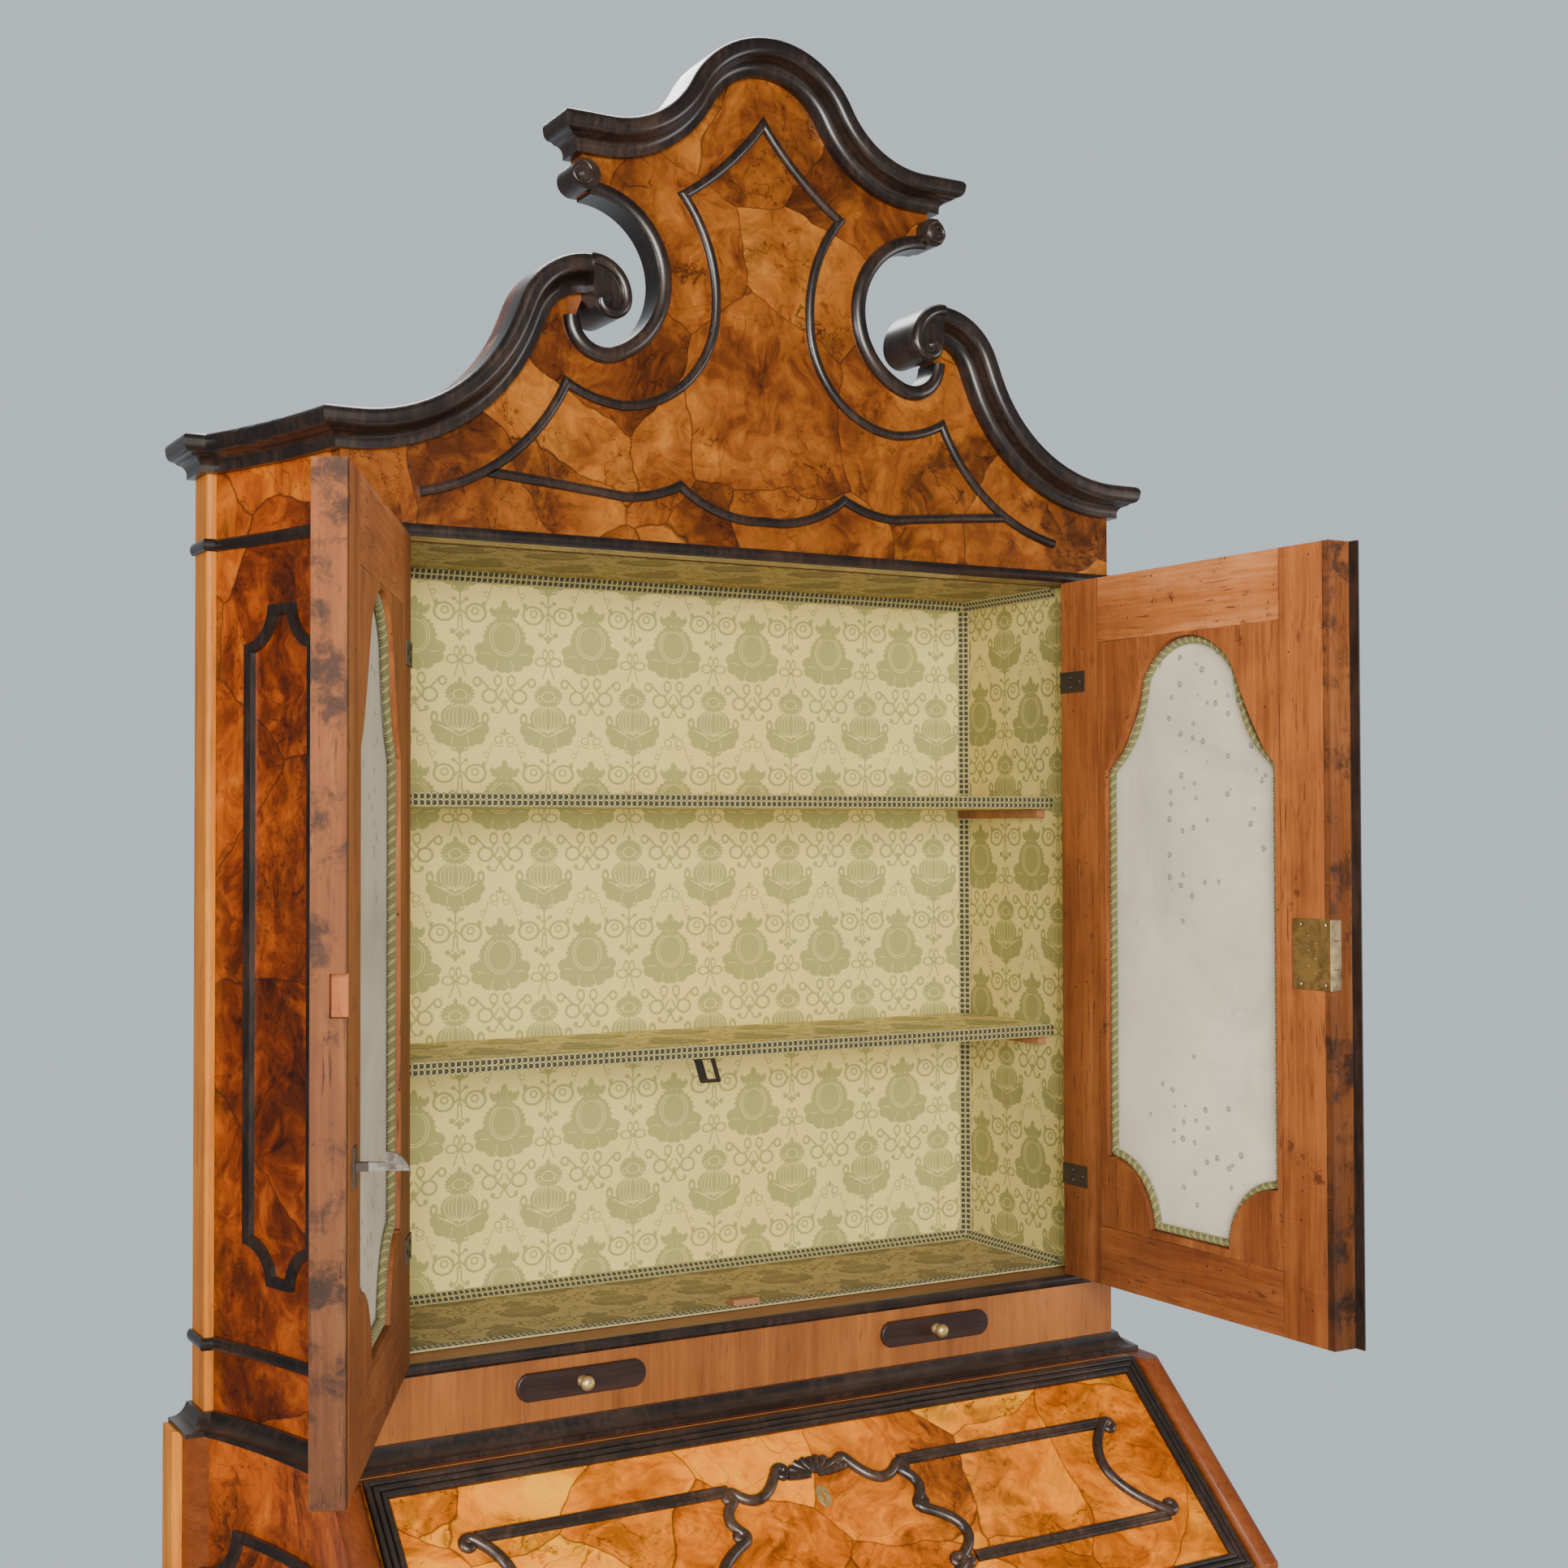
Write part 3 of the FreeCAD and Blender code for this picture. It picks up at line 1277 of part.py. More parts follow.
def carcase_hinges():
    """Fixed plates on the case's edge with the outer knuckles and the pin."""
    pieces = []
    axis = Vector(0, 0, 1)
    x0 = cabinet_inner_half - hinge_strap_thickness
    half = knuckle_height / 2
    for z in hinge_heights:
        centre = Vector(cabinet_inner_half, 0, z)
        solids = [rod(pin_radius, 2 * knuckle_pitch + knuckle_height, centre, axis)]
        for side in (-1, 1):
            outer = centre + axis * side * knuckle_pitch
            solids.append(rod(knuckle_radius, knuckle_height, outer, axis))
            solids.append(box(x0, cabinet_inner_half, 0, door_thickness, outer.z - half, outer.z + half))
        pieces.append(fused(solids))
    return both(Part.makeCompound(pieces))


def right_door_lock():
    x0, x1 = door_meeting_gap, door_meeting_gap + lock_width
    tall = lock_height / 2
    plate = box(x0, x1, door_thickness, door_thickness + lock_plate, lock_middle_z - tall, lock_middle_z + tall)
    return fused([lock_case(), plate]).cut(bolt_block(x0, bolt_length + bolt_gap, bolt_gap))


def right_lock_bolt():
    return bolt_block(door_meeting_gap, bolt_length, 0.0)


def hook_ears():
    """The plate on the left door that carries the hook between two ears."""
    inner = hook_thickness / 2 + pin_gap
    outer = inner + hook_ear
    half, tall = hook_arm / 2, hook_plate_height / 2
    y0, y1 = door_thickness, door_thickness + hook_plate
    plate = box(hook_x - hook_plate_width / 2, hook_x + hook_plate_width / 2, y0, y1,
                hook_pivot_z - tall, hook_pivot_z + tall)
    ears = [box(hook_x + a, hook_x + b, y1, hook_pivot_y + half, hook_pivot_z - half, hook_pivot_z + half)
            for a, b in ((inner, outer), (-outer, -inner))]
    pin = rod(hook_pin_radius, 2 * outer, Vector(hook_x, hook_pivot_y, hook_pivot_z), Vector(1, 0, 0))
    return fused([plate] + ears + [pin])


def left_door_hook():
    """A flat arm that ends in a barbed head, bored for its pin."""
    half = hook_arm / 2
    y0, y1 = hook_pivot_y, door_thickness + hook_reach
    neck_y = y1 - hook_head

    def at(y, z):
        return Vector(hook_x - hook_thickness / 2, y, hook_pivot_z + z)

    barb, tip = at(neck_y, half + hook_head * 0.45), at(y1, -half)
    nose = at(y1 - hook_head * 0.22, half + hook_head * 0.12)
    arm = prism([line(at(y0, half), at(neck_y, half)), line(at(neck_y, half), barb), arc(barb, nose, tip),
                 line(tip, at(y0, -half)), arc(at(y0, -half), at(y0 - half, 0), at(y0, half))],
                Vector(hook_thickness, 0, 0))
    return arm.cut(rod(hook_pin_radius + pin_gap, 4 * hook_thickness,
                       Vector(hook_x, hook_pivot_y, hook_pivot_z), Vector(1, 0, 0)))


def right_open(shape):
    turned = shape.copy()
    turned.rotate(Vector(cabinet_inner_half, 0, 0), Vector(0, 0, 1), right_door_open)
    return turned


def left_open(shape):
    turned = mirrored(shape)
    turned.rotate(Vector(-cabinet_inner_half, 0, 0), Vector(0, 0, 1), -left_door_open)
    return turned


# Bureau
side = bureau_side()
export("bureau_side_right", side)
export("bureau_side_left", mirrored(side))
export("bureau_back", box(-bureau_inner_half, bureau_inner_half, bureau_back_front_y, back_y,
                          foot_height, bureau_height))
export("bureau_top", bureau_top())
export("writing_deck", writing_deck())
export("deck_hinges", deck_hinges())
export("drawer_dividers", drawer_dividers())
export("plinth_and_feet", plinth_and_feet())
export("pigeonholes", pigeonholes())
strips = [slant_cheek(), rear_strip(bureau_rear, foot_height, bureau_height),
          rear_strip(cabinet_rear, bureau_height, cornice_corner_z)]
export("corner_strips", both(Part.makeCompound(strips)))
export("side_beads", both(Part.makeCompound([cabinet_bead(), bureau_bead()])))

# Drawers and lopers
rows = drawer_rows()
top_half = loper_space_half - divider_board - slide_gap
export("top_drawer", bureau_drawer(top_half, *rows[0]))
export("top_drawer_knobs", bureau_knobs(top_drawer_knob_x, *rows[0]))
for name, row in zip(("upper_drawer", "lower_drawer"), rows[1:]):
    export(name, bureau_drawer(bureau_inner_half - slide_gap, *row))
    export(name + "_knobs", bureau_knobs(drawer_knob_x, *row))
export("loper_right", loper())
export("loper_left", mirrored(loper()))
export("inner_drawer_right", small_drawer())
export("inner_drawer_left", mirrored(small_drawer()))

# Fall
export("fall_panel", fall_panel())
export("fall_frame", fall_frame())
export("fall_ornament", fall_ornament())
export("fall_metalwork", Part.makeCompound([fall_escutcheon(), fall_hinges()]))

# Cabinet
side = cabinet_side()
export("cabinet_side_right", side)
export("cabinet_side_left", mirrored(side))
export("cabinet_back", box(-cabinet_inner_half, cabinet_inner_half, cabinet_back_front_y, back_y,
                           bureau_height, cornice_corner_z))
export("cabinet_top", cabinet_top())
export("cabinet_bottom", cabinet_bottom())
export("cabinet_lining", cabinet_lining())
export("shelves", Part.makeCompound([shelf(lower_shelf_z), shelf(upper_shelf_z)]))
export("bearers", Part.makeCompound([shelf_cleats(), candle_runners()]))
export("hook_keeper", hook_keeper())
export("candle_frieze", candle_frieze())
export("candle_slide_right", candle_slide())
export("candle_slide_left", mirrored(candle_slide()))
export("candle_knob_right", candle_knob())
export("candle_knob_left", mirrored(candle_knob()))

# Mouldings and pediment
side, front = run_round(cabinet_outline, cabinet_corner, cabinet_rear, cabinet_flare_angle,
                        base_moulding_projection, base_profile, bureau_height)
export("base_moulding", Part.makeCompound([both(side), front]))
strings = []
for z in (frieze_top, opening_top):
    side, front = run_round(cabinet_outline, cabinet_corner, cabinet_rear, cabinet_flare_angle,
                            string_projection, string_profile, z)
    strings += [both(side), front]
export("string_courses", Part.makeCompound(strings))
export("pediment_board", pediment_board())
export("cornice", cornice())
export("crest_cornice", crest_cornice())
export("pediment_scrolls", pediment_scrolls())
export("pediment_bead", pediment_bead())

# Doors
export("carcase_hinges", carcase_hinges())
export("right_door_frame", right_open(right_door_frame()))
export("right_door_mirror", right_open(door_mirror()))
export("right_door_moulding", right_open(Part.makeCompound([door_moulding(), astragal()])))
export("right_door_cord", right_open(door_cord()))
export("right_door_hinges", right_open(door_hinges()))
export("right_door_lock", right_open(right_door_lock()))
export("right_lock_bolt", right_open(right_lock_bolt()))
export("left_door_frame", left_open(mirrored(left_door_frame())))
export("left_door_mirror", left_open(door_mirror()))
export("left_door_moulding", left_open(door_moulding()))
export("left_door_cord", left_open(door_cord()))
export("left_door_hinges", left_open(Part.makeCompound([door_hinges(), hook_ears()])))
export("left_door_hook", left_open(left_door_hook()))
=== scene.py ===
import functools
import json
import math

import bmesh
import bpy
from mathutils import Matrix, Vector

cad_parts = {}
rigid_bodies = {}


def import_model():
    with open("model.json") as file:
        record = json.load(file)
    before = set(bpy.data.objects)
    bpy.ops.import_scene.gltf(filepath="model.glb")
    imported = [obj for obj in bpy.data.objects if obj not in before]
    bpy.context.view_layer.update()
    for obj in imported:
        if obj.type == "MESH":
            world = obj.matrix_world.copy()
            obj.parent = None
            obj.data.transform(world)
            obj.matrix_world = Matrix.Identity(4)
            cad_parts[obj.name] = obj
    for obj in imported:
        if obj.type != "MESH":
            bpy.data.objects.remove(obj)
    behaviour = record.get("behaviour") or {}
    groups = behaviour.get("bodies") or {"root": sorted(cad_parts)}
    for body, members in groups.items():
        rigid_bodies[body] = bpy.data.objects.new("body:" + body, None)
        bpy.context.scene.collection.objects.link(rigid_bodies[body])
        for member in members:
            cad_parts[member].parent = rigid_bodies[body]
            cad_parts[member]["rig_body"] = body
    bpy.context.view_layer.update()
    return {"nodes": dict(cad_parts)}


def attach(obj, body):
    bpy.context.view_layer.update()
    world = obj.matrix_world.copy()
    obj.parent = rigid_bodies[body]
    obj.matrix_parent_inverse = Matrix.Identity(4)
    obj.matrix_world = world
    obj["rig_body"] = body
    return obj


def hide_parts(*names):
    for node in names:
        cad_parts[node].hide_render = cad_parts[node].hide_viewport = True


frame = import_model()
nodes = frame["nodes"]
MM = 0.001

# Sizes of the cabinet's inside, in millimetres
inside_half = 454.4
inside_back = 251.3
inside_front = 36.0
inside_floor = 1100.2
inside_ceiling = 1960.8
shelf_tops = (1403.5, 1694.0)
shelf_thick = 14.5
shelf_front = 60.0
shelf_back = 250.6
shelf_half = 453.6

# Doors, drawn shut and then swung open
door_hinge_x = 455.0
door_turn = {"right": 91.0, "left": 116.0}
door_thick = 30.0
pane_middle = 14.5
window_middle = 226.75
window_half = 143.5
window_sill = 1181.0
window_lobe = 77.0
window_side_top = 1724.0
window_notch = 15.0
window_spring = (78.0, 1836.0)
window_arch_top = 1877.0
cord_inset = 4.8
cord_depth = 21.3
cord_radius = 4.6
cord_pitch = 11.0
cord_points = 8
cord_lobes = 3
lobe_points = 6
cord_groove = 0.58
door_wide = 452.0
stile_joint = 72.0
top_rail_joint = 1881.0
foot_rail_joint = 1172.0
lipping = 7.0
joint_half = 0.4
reveal_deep = 1.6

# Fall front, measured across from the middle and down from the top edge
fall_slope = 42.0
fall_hinge = (-249.79, 789.6)
fall_long = 290.0
fall_thick = 22.0
cheek_behind = 60.0
drawer_front = -200.0
ornament_outer = 424.0
ornament_low = 207.0
shell_v = 80.0
shell_ribs = 9
shell_reach = 33.0
bar_rows = ((-3.7, 3.4), (3.7, 3.4), (0.0, 2.6))
scroll_points = 24
curl_steps = 26
curl_turn = 19.0
curl_close = 0.72
curl_sizes = (5.0, 7.0)
long_scroll = 60.0
scroll_tip = 2.4
scroll_growth = 2.8
scroll_swell = 1.2
rib_foot = 1.6
rib_growth = 3.6
carving_lift = 1.0
shell_lift = 1.2
rod_sides = 10
rod_sharp = 60.0

# Light line let into the top of the bureau, in front of the cabinet
top_inlay = -36.5

# Small rolls at the upper ends of the C scrolls
roll_x = 234.0
roll_z = 2372.0
roll_front = -13.0
roll_reach = (14.0, 3.5)
roll_rod = (2.6, 1.8)
roll_steps = 48
roll_turn = 12.0

# Screws and rivets, in a shut door; the hinge screws are counted from the hinge's pin
hinge_heights = (1226.0, 1835.0)
hinge_face = 31.6
hinge_screws = ((38.0, 0.0), (20.0, -6.0), (20.0, 6.0))
screw_radius = 3.2
lock_face = 32.6
lock_screws_x = (8.0, 44.0)
lock_screws_z = (1486.0, 1550.0)
lock_screw_size = 0.8
rivet_count = 6
rivet_start = (22.0, 1498.0)
rivet_step = (10.0, 8.0)
rivet_size = 0.35

# Cloth and braid
tile_wide = 113.5
tile_tall = 192.0
back_flowers = ((67.0, 1236.0), (61.7, 1626.7), (67.0, 1816.0))
cloth_ripple = 0.3
ripple_waves = ((37.0, 9.0), (5.0, 23.0))
cloth_faces = 48
cloth_hem = 0.08
cover_gap = 0.5
cover_columns = 60
cover_row = 8.0
braid_wide = 15.0
braid_pitch = 7.0
braid_lay = 0.5
braid_from_corner = 5.0
braid_thick = 1.8
braid_sharp = 50.0
braid_wall_start = 14.0
braid_end_gap = 3.0
braid_under_shelf = 2.0
knot_half = (3.0, 3.1, 1.9)

# Finishing of the solids, in metres and degrees
merge_within = 0.000004
drop_under = 0.000002
flat_within = 0.4
round_above = 35.0
sharp_above = 40.0

# Camera
camera_place = (-1152.67, -2057.37, 1652.33)
camera_yaw = 29.81
camera_pitch = 1.29
camera_roll = -0.15
camera_lens = 47.20
camera_sensor = 36.0

# Pale backdrop: the way it lies, its colour and how its strength falls off to the sides
backdrop_way = (0.5, 0.866, 0.0)
backdrop_colour = (0.43, 0.485, 0.527, 1.0)
backdrop_fall = {"From Min": 0.55, "From Max": 0.86, "To Min": 0.24, "To Max": 1.36}
ground_radius = 1.85

# Lights: place, target and size in metres, power in watts, colour
lights = {
    "key_light": ((-1.7, -3.9, 2.0), (0.0, 0.0, 1.4), 2.2, 350.0, (1.0, 0.97, 0.92)),
    "left_light": ((-5.5, -2.0, 1.8), (0.0, -0.1, 1.5), 1.4, 170.0, (1.0, 0.97, 0.93)),
    "fill_light": ((3.5, -2.0, 1.4), (0.0, 0.0, 1.5), 2.0, 55.0, (0.98, 0.99, 1.0)),
    "top_light": ((0.3, 1.7, 4.3), (0.0, 0.1, 2.2), 1.8, 95.0, (1.0, 1.0, 1.0)),
}


class Wire:
    """A number flowing between a material's nodes, with arithmetic."""

    def __init__(self, graph, socket):
        self.graph = graph
        self.socket = socket

    def __add__(self, other):
        return self.graph.math("ADD", self, other)

    def __radd__(self, other):
        return self.graph.math("ADD", other, self)

    def __sub__(self, other):
        return self.graph.math("SUBTRACT", self, other)

    def __rsub__(self, other):
        return self.graph.math("SUBTRACT", other, self)

    def __mul__(self, other):
        return self.graph.math("MULTIPLY", self, other)

    def __rmul__(self, other):
        return self.graph.math("MULTIPLY", other, self)

    def __truediv__(self, other):
        return self.graph.math("DIVIDE", self, other)

    def __rtruediv__(self, other):
        return self.graph.math("DIVIDE", other, self)

    def __neg__(self):
        return self.graph.math("MULTIPLY", self, -1.0)

    def __abs__(self):
        return self.graph.math("ABSOLUTE", self)


class Graph:
    """The nodes of a material or of the world."""

    def __init__(self, owner):
        owner.use_nodes = True
        self.owner = owner
        self.tree = owner.node_tree
        self.tree.nodes.clear()

    def feed(self, socket, value):
        if isinstance(value, Wire):
            self.tree.links.new(value.socket, socket)
        elif isinstance(value, bpy.types.NodeSocket):
            self.tree.links.new(value, socket)
        elif hasattr(value, "__len__") and socket.type == "RGBA" and len(value) == 3:
            socket.default_value = (*value, 1.0)
        else:
            socket.default_value = value

    def node(self, kind, settings=None, inputs=None):
        made = self.tree.nodes.new("ShaderNode" + kind)
        for key, value in (settings or {}).items():
            setattr(made, key, value)
        for key, value in (inputs or {}).items():
            self.feed(made.inputs[key], value)
        return made

    def wire(self, kind, settings, inputs, output=0):
        return Wire(self, self.node(kind, settings, inputs).outputs[output])

    def math(self, operation, *values):
        return self.wire("Math", {"operation": operation}, dict(enumerate(values)))

    def least(self, *values):
        return functools.reduce(lambda a, b: self.math("MINIMUM", a, b), values)

    def most(self, *values):
        return functools.reduce(lambda a, b: self.math("MAXIMUM", a, b), values)

    def step(self, value, low, high):
        """Rises smoothly from 0 at low to 1 at high."""
        names = {"Value": value, "From Min": low, "From Max": high}
        return self.wire("MapRange", {"interpolation_type": "SMOOTHSTEP"}, names)

    def place(self):
        return self.wire("TexCoord", {}, {}, "Object")

    def parts(self, vector):
        split = self.node("SeparateXYZ", {}, {0: vector})
        return [Wire(self, socket) for socket in split.outputs]

    def join(self, x, y, z):
        return self.wire("CombineXYZ", {}, {0: x, 1: y, 2: z})

    def vector(self, operation, *values):
        return self.wire("VectorMath", {"operation": operation}, dict(enumerate(values)))

    def dot(self, first, second):
        return self.wire("VectorMath", {"operation": "DOT_PRODUCT"}, {0: first, 1: second}, "Value")

    def stretch(self, vector, scale, turn=(0, 0, 0)):
        settings = {"vector_type": "POINT"}
        return self.wire("Mapping", settings, {0: vector, "Rotation": turn, "Scale": scale})

    def noise(self, vector, scale, detail=3.0, rough=0.5, twist=0.0, output=0):
        inputs = {"Vector": vector, "Scale": scale, "Detail": detail}
        inputs.update({"Roughness": rough, "Distortion": twist})
        return self.wire("TexNoise", {}, inputs, output)

    def cells(self, vector, scale, feature="F1", output="Distance", flat=False):
        settings = {"voronoi_dimensions": "2D" if flat else "3D", "feature": feature}
        return self.wire("TexVoronoi", settings, {"Vector": vector, "Scale": scale}, output)

    def shift(self, vector, scale, amount, detail=2.0):
        """The vector pushed about by noise of that scale, by up to about half of amount."""
        push = self.noise(vector, scale, detail, output=1)
        centred = self.vector("SUBTRACT", push, (0.5, 0.5, 0.5))
        scaled = self.vector("MULTIPLY", centred, (amount, amount, amount))
        return self.vector("ADD", vector, scaled)

    def ramp(self, value, stops):
        made = self.node("ValToRGB", {}, {0: value})
        ramp = made.color_ramp
        while len(ramp.elements) < len(stops):
            ramp.elements.new(0.5)
        for element, (place, colour) in zip(ramp.elements, stops):
            element.position = place
            element.color = (*colour, 1.0)
        return Wire(self, made.outputs[0])

    def mix(self, factor, first, second):
        return self.wire("Mix", {"data_type": "RGBA"}, {0: factor, 6: first, 7: second}, 2)

    def shade(self, colour, factor):
        """The colour made lighter or darker by a factor that varies."""
        return self.vector("MULTIPLY", colour, self.join(factor, factor, factor))

    def bump(self, height, distance, strength=1.0):
        inputs = {"Height": height, "Distance": distance, "Strength": strength}
        return self.wire("Bump", {}, inputs)

    def principled(self, colour, rough, normal=None, **fixed):
        inputs = {"Base Color": colour, "Roughness": rough}
        if normal is not None:
            inputs["Normal"] = normal
        for key, value in fixed.items():
            inputs[key.replace("_", " ").title().replace("Ior", "IOR")] = value
        return self.wire("BsdfPrincipled", {}, inputs)

    def finish(self, shader):
        self.node("OutputMaterial", {}, {"Surface": shader})
        return self.owner


def burl(name, tones, leaf, seed, smoke=1.0, gloss=0.4):
    """Veneer laid in leaves of root wood: clouded figure, eyes, veins and seams under polish."""
    g = Graph(bpy.data.materials.new(name))
    p = g.vector("ADD", g.place(), (seed, seed * 0.7, seed * 1.3))
    loose = g.shift(g.shift(p, 4.0, 0.12), 15.0, 0.03)
    toss = g.cells(loose, 1.0 / leaf, output="Color")
    seam = g.cells(loose, 1.0 / leaf, "DISTANCE_TO_EDGE")
    tone_toss, turn_toss, smoke_toss = g.parts(toss)
    q = g.vector("ADD", p, g.vector("MULTIPLY", toss, (5.0, 5.0, 5.0)))
    curled = g.shift(g.shift(q, 5.0, 0.16), 17.0, 0.06)
    cloud = g.noise(curled, 7.5, 5.0, 0.62, 1.2)
    flow = g.noise(curled, 19.0, 5.0, 0.6, 1.8)
    fine = g.noise(g.shift(curled, 40.0, 0.02), 80.0, 6.0, 0.66, 0.8)
    rising = g.noise(g.stretch(curled, (75.0, 75.0, 7.0)), 1.0, 4.0, 0.6, 0.5)
    lying = g.noise(g.stretch(curled, (7.0, 75.0, 75.0), (0.0, 0.5, 0.0)), 1.0, 4.0, 0.6, 0.5)
    streak = g.math("MULTIPLY_ADD", g.step(turn_toss, 0.3, 0.5), rising - lying, lying)
    tone = cloud * 1.1 + flow * 0.6 + streak * 0.42 + fine * 0.2 + tone_toss * 0.4 - 0.83
    colour = g.ramp(tone, tones)
    blot = g.noise(g.shift(q, 9.0, 0.09), 6.5, 5.0, 0.6, 1.0)
    sooty = g.step(blot + smoke_toss * 0.16, 0.52, 0.7) * g.step(flow, 0.3, 0.6)
    colour = g.mix(sooty * (0.8 * smoke), colour, tones[0][1])
    crowd = g.step(g.noise(q, 8.0, 2.0), 0.54, 0.64)
    eye = g.cells(g.shift(q, 30.0, 0.02), 70.0)
    eyes = (1.0 - g.step(eye, 0.08, 0.3)) * crowd
    colour = g.mix(eyes * 0.55, colour, tones[0][1])
    vein = abs(g.noise(g.shift(q, 14.0, 0.07), 13.0, 4.0, 0.6, 1.2) - 0.5)
    veins = (1.0 - g.step(vein, 0.002, 0.012)) * g.step(blot, 0.42, 0.56)
    colour = g.mix(veins * 0.7, colour, tones[0][1])
    craze = g.cells(g.shift(q, 10.0, 0.1), 13.0, "DISTANCE_TO_EDGE")
    hair = g.step(craze, 0.0, 0.008)
    open_hair = (1.0 - hair) * g.step(g.noise(q, 7.0, 2.0), 0.5, 0.6)
    crack = g.step(seam, 0.0, 0.008) * (1.0 - open_hair * 0.7)
    colour = g.mix((1.0 - crack) * 0.7, colour, (0.02, 0.007, 0.003))
    rub = g.noise(p, 5.0, 3.0)
    rough = 0.17 + fine * 0.1 + rub * 0.12
    height = crack * 0.5 + fine * 0.2 - veins * 0.2 + rub
    shader = g.principled(
        colour, rough, g.bump(height, 0.0004, 0.5), specular_ior_level=gloss, coat_weight=gloss * 0.4,
        coat_roughness=0.12
    )
    return g.finish(shader)


def grained(
    name, tones, along, seed, pore=0.4, worm=0.3, polish=0.3, rough_base=0.3, blocks=0.0, door=None,
    inlay=None, gloss=0.5
):
    """Plain wood with the grain along one axis: streaks, pores, nicks, wormholes and joints."""
    g = Graph(bpy.data.materials.new(name))
    spot = g.place()
    if door:
        spot, joint, lift, edge, age_and_painted_light = door_boards(g, door)
    p = g.vector("ADD", spot, (seed, seed * 0.6, seed * 1.7))
    wavy = g.shift(p, 3.0, 0.03)
    coarse = [26.0, 26.0, 26.0]
    narrow = [210.0, 210.0, 210.0]
    hair = [330.0, 330.0, 330.0]
    coarse[along] = 1.6
    narrow[along] = 6.0
    hair[along] = 28.0
    broad = g.noise(g.stretch(wavy, coarse), 1.0, 4.0, 0.55, 0.6)
    lines = g.noise(g.stretch(wavy, narrow), 1.0, 4.0, 0.6, 0.3)
    pores = g.noise(g.stretch(wavy, hair), 1.0, 2.0, 0.5)
    patch = g.noise(p, 5.0, 4.0, 0.65)
    tone = broad * 0.8 + lines * 0.5 + patch * 0.6 - 0.44
    if blocks:
        block = g.wire(
            "TexWhiteNoise",
            {"noise_dimensions": "1D"},
            {"W": g.math("FLOOR", g.parts(spot)[0] / blocks)},
        )
        tone = tone + block * 0.16 - 0.08
    if door:
        tone = tone + lift
    colour = g.ramp(tone, tones)
    thick = g.step(g.noise(p, 14.0, 3.0), 0.42, 0.62)
    dots = (1.0 - g.step(pores, 0.3, 0.41)) * (thick * 0.7 + 0.3)
    colour = g.mix(dots * pore, colour, tones[0][1])
    rough = rough_base + lines * 0.16 + patch * 0.16
    height = 0.5 - dots * 0.4 + lines * 0.25 + patch
    if worm:
        hole = g.cells(p, 58.0)
        rare = g.step(g.parts(g.cells(p, 58.0, output="Color"))[0], 0.4, 0.41)
        holes = (1.0 - g.step(hole, 0.06, 0.085)) * rare * worm
        colour = g.mix(holes * 0.92, colour, (0.01, 0.005, 0.003))
        nick = g.noise(g.shift(p, 90.0, 0.01), 34.0, 4.0, 0.7)
        nicks = g.step(nick, 0.64, 0.72) * worm
        colour = g.mix(nicks * 0.75, colour, tones[0][1])
        height = height - holes - nicks * 0.6
    if door:
        colour = g.mix(joint * 0.8, colour, (0.025, 0.009, 0.004))
        height = height - joint
        smear = g.step(g.noise(g.shift(p, 40.0, 0.03), 17.0, 5.0, 0.7), 0.47, 0.64)
        colour = g.mix(smear * (edge * 0.8 + 0.14), colour, (0.06, 0.026, 0.014))
        # Painted light and shade: the gradient from door_boards, and the lipping darkened as painted shade
        colour = g.shade(colour, age_and_painted_light - edge * 0.58)
    if inlay:
        off = abs(g.parts(spot)[1] * 1000.0 - inlay)
        colour = g.mix(1.0 - g.step(off, 0.9, 1.3), colour, (0.72, 0.42, 0.12))
    scrape = g.noise(g.stretch(p, (9.0, 380.0, 380.0), (0.3, 0.5, 0.2)), 1.0, 1.0)
    scratch = g.step(scrape, 0.68, 0.76)
    colour = g.mix(scratch * 0.08, colour, tones[-1][1])
    shader = g.principled(
        colour, rough, g.bump(height, 0.0006, 0.55), specular_ior_level=gloss, coat_weight=polish,
        coat_roughness=0.25
    )
    return g.finish(shader)


